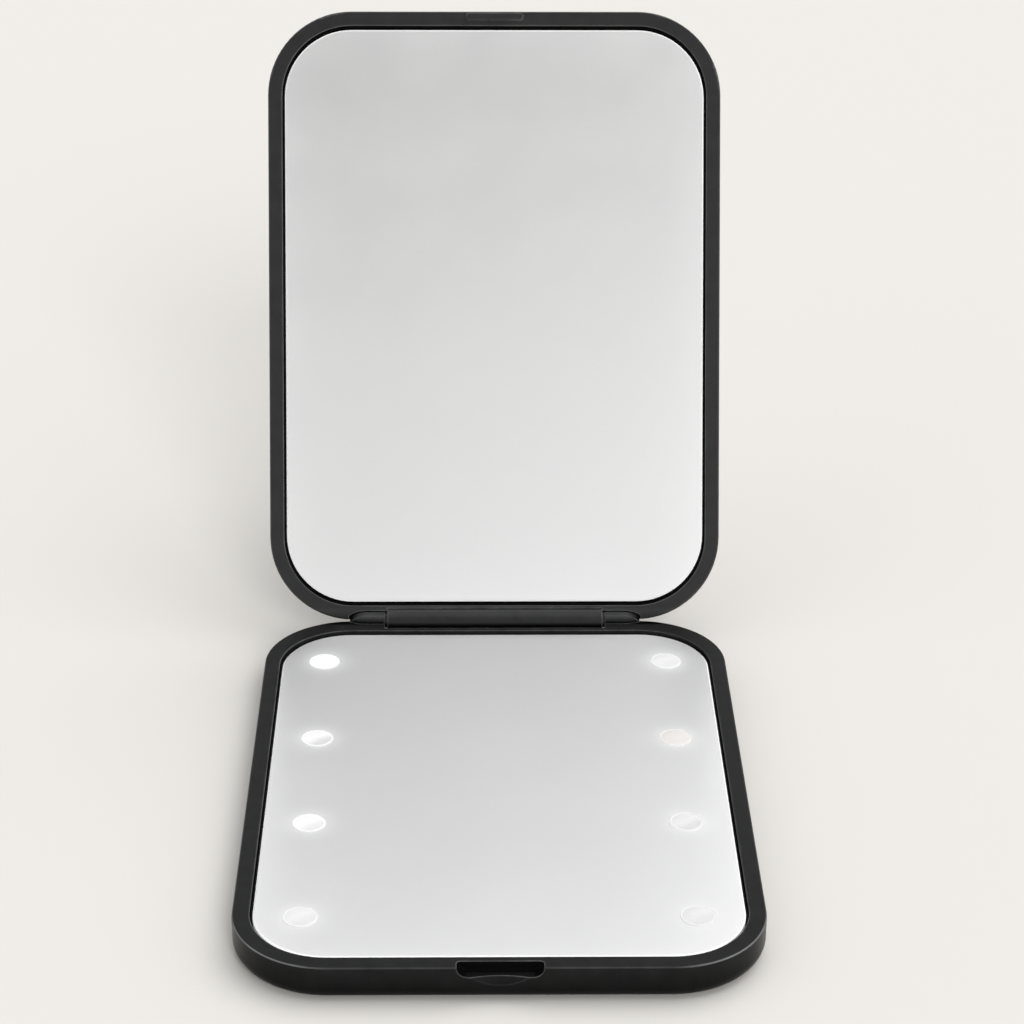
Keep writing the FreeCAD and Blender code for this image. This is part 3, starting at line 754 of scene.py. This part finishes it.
@dataclass(frozen=True)
class SolderMask(Finish):
    """White lacquer over a glass-fibre board, with copper tracks that show through as ridges."""

    track_pitch: float = 1.4 * MM
    lacquer: Feed = (0.78, 0.79, 0.76, 1.0)
    over_track: Feed = (0.68, 0.71, 0.66, 1.0)
    cut_edge: Feed = (0.55, 0.53, 0.33, 1.0)
    wander: float = 7.0 * MM
    weave: float = 0.35 * MM
    weave_stretch: Triple = (1.0, 3.0, 1.0)
    weave_roughness: Pair = (0.28, 0.4)
    weave_share: float = 0.2
    relief: float = 0.02 * MM

    def shade(self, g: Graph) -> None:
        """Add the nodes of the look.

        Args:
            g: Graph of the material.
        """
        x, _, _ = g.split(g.place)
        wander = g.noise(g.place, self.wander, 1.0)
        lanes = g.calc("PINGPONG", g.plus(x, g.times(wander, self.track_pitch * 1.5)), self.track_pitch / 2)
        track = g.remap(lanes, self.track_pitch * 0.2, self.track_pitch * 0.25, 0.0, 1.0)
        weave = g.noise(g.place, self.weave, 2.0, 0.5, self.weave_stretch)
        top = g.along(UP, 0.3, 0.7)
        g.set(Base_Color=g.blend(top, self.cut_edge, g.blend(track, self.lacquer, self.over_track)),
              Roughness=g.spread(weave, *self.weave_roughness),
              Normal=g.bump(g.plus(track, g.times(weave, self.weave_share)), self.relief, 0.6))


@dataclass(frozen=True)
class Filled(Finish):
    """Plain filled plastic, foam or adhesive: cloudy tone over cells or specks."""

    colour: Triple
    roughness: float
    cell: float = 0.2 * MM
    depth: float = 0.01 * MM
    variation: float = 0.12
    cells_in_cloud: float = 8.0
    cell_roughness: float = 0.05

    def shade(self, g: Graph) -> None:
        """Add the nodes of the look.

        Args:
            g: Graph of the material.
        """
        clouds = g.noise(g.place, self.cell * self.cells_in_cloud, 3.0)
        cells = g.remap(g.cells(g.place, self.cell), 0.0, 0.6, 0.0, 1.0)
        pale = tuple(min(1.0, part * (1 + self.variation)) for part in self.colour) + (1.0,)
        deep = tuple(part * (1 - self.variation) for part in self.colour) + (1.0,)
        g.set(Base_Color=g.blend(g.spread(clouds, 0.0, 1.0), deep, pale),
              Roughness=g.remap(cells, 0.0, 1.0, self.roughness + self.cell_roughness,
                                self.roughness - self.cell_roughness),
              Normal=g.bump(cells, self.depth))


# ---- shapes that repeat or follow a path ----
class ShapeTree(NodeCalls):
    """Geometry Nodes tree with named sizes, settled into a plain mesh."""

    def __init__(self, name: str, sizes: dict[str, float]) -> None:
        """Start a tree with an input for each size.

        Args:
            name: Name of the tree.
            sizes: Names of the inputs and their values.
        """
        self.tree = bpy.data.node_groups.new(name, "GeometryNodeTree")
        super().__init__(self.tree)
        self.sizes = sizes
        self.identifiers = {}
        for label, value in sizes.items():
            socket = self.tree.interface.new_socket(label, in_out="INPUT", socket_type="NodeSocketFloat")
            socket.default_value = value
            self.identifiers[label] = socket.identifier
        self.tree.interface.new_socket("Geometry", in_out="OUTPUT", socket_type="NodeSocketGeometry")
        self.source = self.add("NodeGroupInput")
        self.sink = self.add("NodeGroupOutput")

    def size(self, label: str) -> Socket:
        """The socket of one named size."""
        return self.source.outputs[label]

    def circle(self, radius: str, points: int) -> Socket:
        """Circle by the name of the size that is its radius, and its number of points."""
        return self.first("GeometryNodeCurvePrimitiveCircle", Resolution=points, Radius=self.size(radius))

    def ball(self, *radii: str, segments: int, rings: int) -> Socket:
        """Ball by the names of the sizes that are its radii along X, Y and Z."""
        plain = self.first("GeometryNodeMeshUVSphere", Segments=segments, Rings=rings, Radius=1.0)
        return self.first("GeometryNodeTransform", Geometry=plain, Scale=self.vector(*map(self.size, radii)))

    def vector(self, x: Feed = 0.0, y: Feed = 0.0, z: Feed = 0.0) -> Socket:
        """A vector from three sockets or numbers."""
        return self.first("ShaderNodeCombineXYZ", X=x, Y=y, Z=z)

    def finish(self, geometry: Socket, material: bpy.types.Material) -> None:
        """End the tree: smooth faces, real geometry and its material.

        Args:
            geometry: What the tree has made.
            material: Material of the piece.
        """
        smooth = self.first("GeometryNodeSetShadeSmooth", Geometry=geometry)
        real = self.first("GeometryNodeRealizeInstances", Geometry=smooth)
        dressed = self.first("GeometryNodeSetMaterial", Geometry=real, Material=material)
        self.links.new(dressed, self.sink.inputs[0])

    def settle(self, name: str, placing: Matrix | None = None) -> bpy.types.Object:
        """Turn the tree's result into a plain mesh in the model's frame.

        Args:
            name: Name of the piece.
            placing: Where the result goes, if it was not made in place.

        Returns:
            The piece, at the origin, with its place in its mesh.
        """
        maker = bpy.data.objects.new(name + "_maker", bpy.data.meshes.new(name + "_maker"))
        bpy.context.scene.collection.objects.link(maker)
        modifier = maker.modifiers.new("shape", "NODES")
        modifier.node_group = self.tree
        for label, value in self.sizes.items():
            modifier[self.identifiers[label]] = value
        graph = bpy.context.evaluated_depsgraph_get()
        made = maker.evaluated_get(graph)
        mesh = bpy.data.meshes.new_from_object(made, preserve_all_data_layers=True, depsgraph=graph)
        mesh.name = name
        maker.modifiers.remove(modifier)
        bpy.data.objects.remove(maker)
        if placing is not None:
            mesh.transform(placing)
        work = bmesh.new()
        work.from_mesh(mesh)
        bmesh.ops.remove_doubles(work, verts=work.verts, dist=WELD)
        bmesh.ops.recalc_face_normals(work, faces=work.faces)
        work.to_mesh(mesh)
        work.free()
        piece = bpy.data.objects.new(name, mesh)
        bpy.context.scene.collection.objects.link(piece)
        return piece


# ---- sub-assemblies ----
@dataclass
class Frame:
    """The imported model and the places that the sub-assemblies share."""

    data: dict[str, Any]

    @property
    def open_turn(self) -> float:
        """Angle from closed to the rest pose, in radians."""
        return math.radians(-self.hinge["range_deg"][0])

    @property
    def hinge(self) -> dict[str, Any]:
        """The lid's joint."""
        return next(joint for joint in self.data["joints"] if joint["name"] == "lid_hinge")

    def lid_placing(self) -> Matrix:
        """Where a lid piece goes that is made lying open side up in the base's frame.

        Returns:
            The half turn onto the base and then the turn about the hinge.
        """
        axis = Vector(self.hinge["pos_m"])
        over = Matrix.Translation((0.0, 0.0, axis.z)) @ Matrix.Rotation(math.pi, 4, "Y")
        over = over @ Matrix.Translation((0.0, 0.0, -axis.z))
        swing = Matrix.Rotation(-self.open_turn, 4, "X")
        return Matrix.Translation(axis) @ swing @ Matrix.Translation(-axis) @ over

    def lid_facing(self) -> Triple:
        """Direction that the lid's glass faces."""
        return tuple(Matrix.Rotation(-self.open_turn, 3, "X") @ Vector((0.0, 0.0, -1.0)))

    def half_box(self, node: str, half: Half) -> tuple[Vector, Vector]:
        """Box of a CAD node in the frame in which its half was made.

        Args:
            node: Name of the CAD node.
            half: Half that it belongs to.

        Returns:
            Lowest and highest corner.
        """
        if half is Half.BASE:
            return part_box(node)
        back = self.lid_placing().inverted()
        points = [back @ vertex.co for vertex in self.data["nodes"][node].data.vertices]
        return (Vector([min(p[i] for p in points) for i in range(3)]),
                Vector([max(p[i] for p in points) for i in range(3)]))

    def dress(self, names: list[str], finish: Finish) -> None:
        """Give a finish to CAD nodes.

        Args:
            names: Nodes.
            finish: Finish that makes the material.
        """
        material = finish.make()
        for name in names:
            node = self.data["nodes"][name]
            for slot in node.material_slots:
                slot.material = material
            if not node.material_slots:
                node.data.materials.append(material)
            log.info("dressed %s in %s", name, material.name)

    def mount(self, piece: bpy.types.Object, body: str, slot: Slot) -> None:
        """Put a new piece on a body.

        Args:
            piece: Piece to mount.
            body: Body that it rides on.
            slot: Not used.
        """
        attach(piece, body)
        log.info("made %s on %s, %d faces", piece.name, body, len(piece.data.polygons))


@dataclass
class Casing:
    """The two moulded shells."""

    frame: Frame
    parting_gap: float = 0.1 * MM
    notch_half_width: float = 5.1 * MM
    notch_depth: float = 1.5 * MM
    notch_height: float = 1.35 * MM
    notch_inset: float = 0.2 * MM
    notch_lip: float = 0.15 * MM
    base_tone: float = 0.0095
    base_rim_tone: float = 0.0105
    lid_rim_tone: float = 0.0115
    lid_specular: float = 0.37
    # Height over which the base's tone gets painted shade towards the floor.
    ground_shade_height: float = 4.4 * MM
    # Tones of the base's painted highlight along the parting round and at the front corners.
    base_highlight_tone: float = 0.022
    base_corner_highlight_tone: float = 0.085
    ear_reach: float = 1.3 * MM
    # Painted light on top of the ears and the barrel.
    ear_painted_top_tone: float = 0.05
    barrel_reach: float = 1.75 * MM
    barrel_painted_top_tone: float = 0.016

    def parting_level(self) -> float:
        """Height of the base's parting face."""
        return self.frame.hinge["pos_m"][2] - self.parting_gap / 2

    def painted_edge_highlight(self, half: Half) -> PaintedEdgeHighlight:
        """The painted highlight along one half's parting face.

        Args:
            half: Half of the case.

        Returns:
            The painted highlight.
        """
        _, y, z = self.frame.hinge["pos_m"]
        level = self.parting_level()
        if half is Half.BASE:
            return PaintedEdgeHighlight(UP, level, (y, z), self.base_highlight_tone, self.base_corner_highlight_tone)
        facing = self.frame.lid_facing()
        face = self.frame.lid_placing() @ Vector((0.0, 0.0, level))
        return PaintedEdgeHighlight(facing, face.dot(Vector(facing)), (y, z))

    def notch(self) -> PaintedRecessShade:
        """The painted shade inside the thumb notch in the base's front rim."""
        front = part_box("base_shell")[0].y
        level = self.parting_level()
        return PaintedRecessShade(self.notch_half_width, front + self.notch_inset, front + self.notch_depth,
                          level - self.notch_height, level - self.notch_lip)

    def dress(self) -> None:
        """Give the shells their matte black."""
        _, y, z = self.frame.hinge["pos_m"]
        base = MouldedBlack("base_casing_black", tone=self.base_tone, rim_tone=self.base_rim_tone,
                            ground_shade_height=self.ground_shade_height, edge_highlight=self.painted_edge_highlight(Half.BASE), recess_shade=self.notch(),
                            knuckle_shading=PaintedKnuckleShading((y, z), self.ear_reach, self.ear_painted_top_tone))
        lid = MouldedBlack("lid_casing_black", self.frame.lid_facing(), rim_tone=self.lid_rim_tone,
                           specular=self.lid_specular, turn=self.frame.open_turn,
                           edge_highlight=self.painted_edge_highlight(Half.LID),
                           knuckle_shading=PaintedKnuckleShading((y, z), self.barrel_reach, self.barrel_painted_top_tone))
        self.frame.dress(["base_shell"], base)
        self.frame.dress(["lid_shell"], lid)


@dataclass
class MirrorSet:
    """Glass, tape and tray of each half, and the polished bead on each tray's upstand."""

    frame: Frame
    lamps: "LampSet"
    bead_radius: float = 0.055 * MM
    upstand: float = 0.15 * MM
    casing_corner: float = 12.0 * MM
    bead_polish: float = 0.3
    bead_tone: float = 0.004
    base_edge: Pair = (0.06, 1.6 * MM)
    lid_edge: Pair = (0.06, 3.4 * MM)

    def build(self) -> None:
        """Sweep a bead round each tray."""
        for half in Half:
            low, high = self.frame.half_box(f"{half.value}_tray", half)
            inset = self.upstand / 2
            tree = ShapeTree(f"{half.value}_bead_shape", {
                "Width": high.x - low.x - 2 * inset,
                "Length": high.y - low.y - 2 * inset,
                "Corner": self.casing_corner - (self.casing_half_width() - high.x) - inset,
                "Bead radius": self.bead_radius,
                "Middle": (low.y + high.y) / 2,
                "Height": high.z,
            })
            loop = tree.first("GeometryNodeCurvePrimitiveQuadrilateral", Width=tree.size("Width"),
                              Height=tree.size("Length"))
            rounded = tree.add("GeometryNodeFilletCurve", Curve=loop, Radius=tree.size("Corner"))
            rounded.mode = "POLY"
            rounded.inputs["Count"].default_value = 24
            section = tree.circle("Bead radius", points=8)
            swept = tree.first("GeometryNodeCurveToMesh", Curve=rounded.outputs[0], Profile_Curve=section)
            placed = tree.first("GeometryNodeTransform", Geometry=swept,
                                Translation=tree.vector(0.0, tree.size("Middle"), tree.size("Height")))
            black = TrayBlack(f"{half.value}_bead_black", self.bead_tone, self.bead_polish)
            tree.finish(placed, black.make())
            placing = self.frame.lid_placing() if half is Half.LID else None
            self.frame.mount(tree.settle(f"{half.value}_tray_bead", placing), half.value, Slot.TRAY)

    def border(self, half: Half, strength: float, reach: float) -> Border:
        """Outline of one half's glass, by which its edge glows.

        Args:
            half: Half of the case.
            strength: Glow at the outline.
            reach: Depth over which it fades.

        Returns:
            The border.
        """
        low, high = self.frame.half_box(f"{half.value}_mirror", half)
        placing = self.frame.lid_placing() if half is Half.LID else Matrix.Identity(4)
        axis = (placing.to_3x3() @ Vector((0.0, 1.0, 0.0))).normalized()
        middle = (placing @ ((low + high) / 2)).dot(axis)
        corner = self.casing_corner - (self.casing_half_width() - high.x)
        return Border(tuple(axis), middle, high.x, (high.y - low.y) / 2, corner, strength, reach)

    def casing_half_width(self) -> float:
        """Half the width of the base's casing."""
        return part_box("base_shell")[1].x

    def dress(self) -> None:
        """Silver the glass, and give the tape and the trays their finishes."""
        base = Silvering("base_silvering", UP, rear_painted_shade=0.06, left_painted_shade=0.05, right_glow=0.03,
                         front_glow=0.025, halo=self.lamps.halo(),
                         border=self.border(Half.BASE, *self.base_edge))
        lid = Silvering("lid_silvering", self.frame.lid_facing(),
                        border=self.border(Half.LID, *self.lid_edge))
        self.frame.dress(["base_mirror"], base)
        self.frame.dress(["lid_mirror"], lid)
        self.frame.dress(["base_tray", "lid_tray"], TrayBlack("tray_black"))
        tape = Filled("mounting_tape", (0.62, 0.6, 0.54), 0.6, 0.09 * MM)
        self.frame.dress(["base_tape", "lid_tape"], tape)


@dataclass
class LampSet:
    """Eight lamps: milky lenses with pale rims, over lamp bodies with their phosphor and solder."""

    frame: Frame
    rows: int = 4
    rim_radius: float = 0.07 * MM
    rim_proud: float = 0.02 * MM
    phosphor_radius: float = 0.95 * MM
    phosphor_rise: float = 0.045 * MM
    well_depth: float = 0.12 * MM
    solder_size: Triple = (0.9 * MM, 0.28 * MM, 0.24 * MM)
    warm_lens: int = 7
    warm: float = 0.93
    rim_glow: float = 0.2
    brighter_rim: float = 0.02
    glows: tuple[float, ...] = (0.15, 0.27, 0.28, 0.45, 0.11, 0.13, 0.11, 0.21)
    # Depth of the painted shade on each lens.
    falls: tuple[float, ...] = (0.14, 0.22, 0.32, 0.1, 0.12, 0.18, 0.05, 0.13)

    def centre(self, number: int) -> Vector:
        """Centre of one lens."""
        low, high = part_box(f"lamp_lens_{number}")
        return (low + high) / 2

    def pitch(self) -> float:
        """Spacing of the rows."""
        return self.centre(2).y - self.centre(1).y

    def halo(self) -> Halo:
        """The lamps' glow on the glass."""
        return Halo(self.centre(self.rows + 1).x, self.centre(1).y, self.pitch())

    def grid(self, tree: ShapeTree) -> Socket:
        """Points over the lamp centres.

        Args:
            tree: Tree with the sizes that every lamp tree shares.

        Returns:
            The points.
        """
        reach = tree.times(tree.size("Row spacing"), self.rows - 1)
        grid = tree.first("GeometryNodeMeshGrid", Size_X=tree.size("Column spacing"), Size_Y=reach,
                          Vertices_X=2, Vertices_Y=self.rows)
        return tree.first("GeometryNodeTransform", Geometry=grid,
                          Translation=tree.vector(0.0, tree.size("Middle"), tree.size("Height")))

    def sizes(self, height: float) -> dict[str, float]:
        """Sizes that every lamp tree shares, with its points at a height."""
        first, last = self.centre(1), self.centre(self.rows)
        return {"Column spacing": -2 * first.x, "Row spacing": self.pitch(),
                "Middle": (first.y + last.y) / 2, "Height": height}

    def build(self) -> None:
        """Make the rims, the phosphor and the solder joints."""
        self.build_rims()
        self.build_phosphor()
        self.build_solder()

    def build_rims(self) -> None:
        """Thin pale rim round each lens, just proud of the glass."""
        glass_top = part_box("base_mirror")[1].z
        low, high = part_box("lamp_lens_1")
        tree = ShapeTree("lamp_rim_shape", self.sizes(glass_top + self.rim_proud) | {
            "Lens radius": (high.x - low.x) / 2 - self.rim_radius / 2,
            "Rim radius": self.rim_radius,
        })
        ring = tree.first("GeometryNodeCurveToMesh", Curve=tree.circle("Lens radius", points=48),
                          Profile_Curve=tree.circle("Rim radius", points=8))
        rim = MilkyLens("lamp_rim_milky", (0.0, 0.0), 1.0, self.rim_glow, 0.0, self.rim_glow)
        self.repeat(tree, ring, rim, "lamp_rims", Slot.LENS)

    def build_phosphor(self) -> None:
        """Low pale yellow pad in the well of each lamp body."""
        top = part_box("lamp_chip_1")[1].z
        tree = ShapeTree("phosphor_shape", self.sizes(top - self.well_depth / 2) | {
            "Pad radius": self.phosphor_radius,
            "Pad rise": self.phosphor_rise,
        })
        pad = tree.ball("Pad radius", "Pad radius", "Pad rise", segments=24, rings=8)
        gel = Filled("phosphor_gel", (0.85, 0.72, 0.2), 0.35, 0.08 * MM)
        self.repeat(tree, pad, gel, "lamp_phosphor", Slot.LAMP)

    def build_solder(self) -> None:
        """Solder joint at both ends of each lamp body."""
        low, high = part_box("lamp_chip_1")
        wide, deep, tall = self.solder_size
        tree = ShapeTree("solder_shape", self.sizes(low.z) | {
            "Body length": high.y - low.y,
            "Joint width": wide,
            "Joint depth": deep,
            "Joint rise": tall,
        })
        blob = tree.ball("Joint width", "Joint depth", "Joint rise", segments=12, rings=6)
        joined = tree.add("GeometryNodeJoinGeometry")
        for side in (0.5, -0.5):
            place = tree.vector(0.0, tree.times(tree.size("Body length"), side), 0.0)
            end = tree.first("GeometryNodeTransform", Geometry=blob, Translation=place)
            tree.links.new(end, joined.inputs[0])
        solder = Metal("solder_grey", (0.62, 0.62, 0.6), 0.34)
        self.repeat(tree, joined.outputs[0], solder, "lamp_solder", Slot.CONTACT)

    def repeat(self, tree: ShapeTree, shape: Socket, finish: Finish, name: str, slot: Slot) -> None:
        """Put a shape at each lamp, and mount all eight as one piece.

        Args:
            tree: Tree that makes the shape.
            shape: Shape to repeat.
            finish: Its finish.
            name: Name of the piece.
            slot: Material slot, passed on to the mount.
        """
        shapes = tree.first("GeometryNodeInstanceOnPoints", Points=self.grid(tree), Instance=shape)
        tree.finish(shapes, finish.make())
        self.frame.mount(tree.settle(name), "base", slot)

    def dress(self) -> None:
        """Light each lens, brightest at the rear left, and finish the lamp bodies."""
        chips = []
        for number, (glow, fall) in enumerate(zip(self.glows, self.falls), 1):
            chips.append(f"lamp_chip_{number}")
            low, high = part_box(f"lamp_lens_{number}")
            middle = self.centre(number)
            lens = MilkyLens(f"lens_milky_{number}", (middle.x, middle.y), (high.x - low.x) / 2, glow,
                             fall, glow + self.brighter_rim, self.warm if number == self.warm_lens else 1.0)
            self.frame.dress([f"lamp_lens_{number}"], lens)
        white = Filled("lamp_package_white", (0.8, 0.79, 0.72), 0.4, 0.15 * MM, 0.004 * MM, 0.04)
        self.frame.dress(chips, white)


@dataclass
class Electronics:
    """Lamp board, its components, the coin cells and their contacts."""

    frame: Frame

    def dress(self) -> None:
        """Finish each piece of the circuit."""
        self.frame.dress(["lamp_board"], SolderMask("board_white_mask"))
        self.frame.dress(["resistors", "magnet_sensor"],
                         Filled("black_epoxy", (0.02, 0.02, 0.022), 0.42, 0.1 * MM, 0.005 * MM))
        for side in ("left", "right"):
            low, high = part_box(f"coin_cell_{side}")
            middle = (low + high) / 2
            steel = Metal(f"cell_steel_{side}", (0.74, 0.74, 0.72), 0.24, 0.35 * MM,
                          rings_about=(middle.x, middle.y))
            self.frame.dress([f"coin_cell_{side}"], steel)
        self.frame.dress(["cell_spring_left", "cell_spring_right", "cell_clip"],
                         Metal("contact_nickel", (0.7, 0.69, 0.65), 0.3, 0.1 * MM, (8.0, 1.0, 1.0)))


@dataclass
class Hinge:
    """Pin, washers and spring sleeves."""

    frame: Frame

    def dress(self) -> None:
        """Finish the metal and the nylon."""
        along_axis = (0.15, 1.0, 1.0)
        self.frame.dress(["hinge_pin"],
                         Metal("pin_steel_drawn", (0.6, 0.6, 0.61), 0.28, 0.06 * MM, along_axis))
        self.frame.dress(["hinge_sleeve_left", "hinge_sleeve_right"],
                         Metal("sleeve_bronze", (0.68, 0.6, 0.48), 0.32, 0.06 * MM, along_axis))
        self.frame.dress(["hinge_washer_left", "hinge_washer_right"],
                         Filled("washer_nylon_black", (0.006, 0.006, 0.006), 0.5, 0.1 * MM, 0.003 * MM))


@dataclass
class Closure:
    """Magnets in the lid and their keepers in the base."""

    frame: Frame

    def dress(self) -> None:
        """Plate the magnets and the keepers."""
        self.frame.dress(["keeper_left", "keeper_right", "lid_magnet_left", "lid_magnet_right"],
                         Metal("nickel_plate", (0.7, 0.68, 0.64), 0.16, 0.2 * MM))


@dataclass
class Fasteners:
    """Tray screws of both halves."""

    frame: Frame

    def dress(self) -> None:
        """Give the screws bright zinc."""
        self.frame.dress(["base_tray_screws", "lid_tray_screws"],
                         Metal("screw_zinc", (0.52, 0.53, 0.55), 0.33, 0.09 * MM, tarnish=0.18))


@dataclass
class BatteryDoor:
    """Door in the underside, with raised ribs between its grip grooves."""

    frame: Frame
    ribs: int = 4
    rib_pitch: float = 1.1 * MM
    rib_length: float = 8.4 * MM
    rib_radius: float = 0.16 * MM
    rib_rise: float = 0.07 * MM
    rib_tone: float = 0.007
    first_from_rear: float = 5.65 * MM

    def build(self) -> None:
        """Make the ribs that a thumb pushes against."""
        low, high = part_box("battery_door")
        tree = ShapeTree("grip_rib_shape", {
            "Pitch": -self.rib_pitch,
            "First": high.y - self.first_from_rear,
            "Face": low.z,
            "Half length": self.rib_length / 2,
            "Rib radius": self.rib_radius,
            "Rib rise": self.rib_rise,
        })
        line = tree.first("GeometryNodeMeshLine", Count=self.ribs,
                          Start_Location=tree.vector(0.0, tree.size("First"), tree.size("Face")),
                          Offset=tree.vector(0.0, tree.size("Pitch"), 0.0))
        bar = tree.ball("Half length", "Rib radius", "Rib rise", segments=16, rings=8)
        bars = tree.first("GeometryNodeInstanceOnPoints", Points=line, Instance=bar)
        tree.finish(bars, MouldedBlack("door_rib_black", tone=self.rib_tone).make())
        self.frame.mount(tree.settle("door_grip_ribs"), "battery_door", Slot.CASING)

    def dress(self) -> None:
        """Finish the door and its foam pad."""
        self.frame.dress(["battery_door"], MouldedBlack("door_casing_black", roughness=0.5))
        foam = Filled("door_foam", (0.05, 0.05, 0.052), 0.85, 0.16 * MM, 0.05 * MM, 0.25)
        self.frame.dress(["door_pad"], foam)


# ---- studio ----
def heading(az: float, el: float) -> Vector:
    """Direction by its degrees to the right of straight in front and its degrees above the floor."""
    a, e = math.radians(az), math.radians(el)
    return Vector((math.sin(a) * math.cos(e), -math.cos(a) * math.cos(e), math.sin(e)))


@dataclass(frozen=True)
class SkyPatch:
    """Soft round patch of the room that is brighter or darker than the rest."""

    az: float
    el: float
    full: float
    none: float
    gain: float

    def light(self, sky: NodeCalls, direction: Socket) -> Socket:
        """Light that the patch adds.

        Args:
            sky: Nodes of the world.
            direction: Direction that is looked in.

        Returns:
            The added light, which is negative for a dark patch.
        """
        towards = sky.dot(direction, heading(self.az, self.el))
        none, full = (math.cos(math.radians(turn)) for turn in (self.none, self.full))
        return sky.remap(towards, none, full, 0.0, self.gain, smooth=True)


@dataclass(frozen=True)
class SoftSun:
    """Broad distant light that casts a soft shadow."""

    name: str
    az: float
    el: float
    spread: float
    strength: float

    def build(self) -> None:
        """Add the light."""
        lamp = bpy.data.lights.new(self.name, "SUN")
        lamp.energy = self.strength
        lamp.angle = math.radians(self.spread)
        light = bpy.data.objects.new(self.name, lamp)
        light.visible_glossy = False
        light.rotation_euler = heading(self.az, self.el).to_track_quat("Z", "Y").to_euler()
        bpy.context.scene.collection.objects.link(light)


@dataclass
class Studio:
    """Pale floor, soft light and the camera."""

    floor_size: float = 6.0
    floor_tone: Triple = (0.56, 0.544, 0.519)
    sky_middle: float = 0.94
    sky_lean: Triple = (0.24, 0.0, 0.0)
    flag: SkyPatch = SkyPatch(az=-4.0, el=43.0, full=12.0, none=34.0, gain=-0.85)
    window: SkyPatch = SkyPatch(az=20.0, el=0.0, full=10.0, none=38.0, gain=0.7)
    key: SoftSun = SoftSun("key", az=14.0, el=31.0, spread=22.0, strength=1.6)
    overhead: SoftSun = SoftSun("overhead", az=135.0, el=66.0, spread=60.0, strength=1.6)
    lens: float = 101.40
    sensor: float = 36.0
    eye: Triple = (-0.003261, -0.3265105, 0.2003441)
    pitch: float = 25.683
    yaw: float = -0.877
    roll: float = 0.3173

    def build_floor(self) -> None:
        """Lay the pale floor."""
        half = self.floor_size / 2
        mesh = bpy.data.meshes.new("floor")
        corners = [(-half, -half, 0.0), (half, -half, 0.0), (half, half, 0.0), (-half, half, 0.0)]
        mesh.from_pydata(corners, [], [(0, 1, 2, 3)])
        floor = bpy.data.objects.new("floor", mesh)
        bpy.context.scene.collection.objects.link(floor)
        g = Graph("floor_paper")
        g.set(Base_Color=self.floor_tone + (1.0,), Roughness=0.9, Specular_IOR_Level=0.0)
        mesh.materials.append(g.material)

    def build_world(self) -> None:
        """Soft room light that is a little brighter on one side."""
        world = bpy.data.worlds.new("studio")
        bpy.context.scene.world = world
        world.use_nodes = True
        sky = NodeCalls(world.node_tree)
        direction = sky.add("ShaderNodeTexCoord").outputs["Generated"]
        light = sky.plus(sky.dot(direction, self.sky_lean), self.sky_middle)
        for patch in (self.flag, self.window):
            light = sky.plus(light, patch.light(sky, direction))
        sky.fill(sky.nodes["Background"], {"Strength": light, "Color": WHITE})

    def build_camera(self) -> None:
        """Set the camera's place and lens."""
        camera = bpy.data.objects.new("camera", bpy.data.cameras.new("camera"))
        bpy.context.scene.collection.objects.link(camera)
        camera.data.sensor_width = self.sensor
        camera.data.lens = self.lens
        camera.data.clip_start = 0.01
        camera.data.clip_end = 50.0
        pitch, yaw, roll = (math.radians(turn) for turn in (self.pitch, self.yaw, self.roll))
        right = Vector((math.cos(yaw), math.sin(yaw), 0.0))
        level = Vector((-math.sin(yaw), math.cos(yaw), 0.0))
        ahead = level * math.cos(pitch) - Vector(UP) * math.sin(pitch)
        upward = right.cross(ahead)
        turn = Matrix((right, upward, -ahead)).transposed().to_4x4()
        camera.matrix_world = Matrix.Translation(self.eye) @ turn @ Matrix.Rotation(roll, 4, "Z")
        bpy.context.scene.camera = camera

    def build(self) -> None:
        """Set up the floor, the light and the camera."""
        self.build_floor()
        self.build_world()
        self.key.build()
        self.overhead.build()
        self.build_camera()
        view = bpy.context.scene.view_settings
        view.view_transform = "Standard"
        log.info("studio ready")


def main() -> None:
    """Load the frame, build and dress each sub-assembly, and light it."""
    logging.basicConfig(level=logging.INFO, format="%(message)s", stream=sys.stdout)
    frame = Frame(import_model())
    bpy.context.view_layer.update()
    Studio().build()
    lamps = LampSet(frame)
    mirrors = MirrorSet(frame, lamps)
    door = BatteryDoor(frame)
    for maker in (lamps, mirrors, door):
        maker.build()
    for group in (Casing(frame), mirrors, lamps, Electronics(frame), Hinge(frame), Closure(frame),
                  Fasteners(frame), door):
        group.dress()


if __name__ == "__main__":
    main()
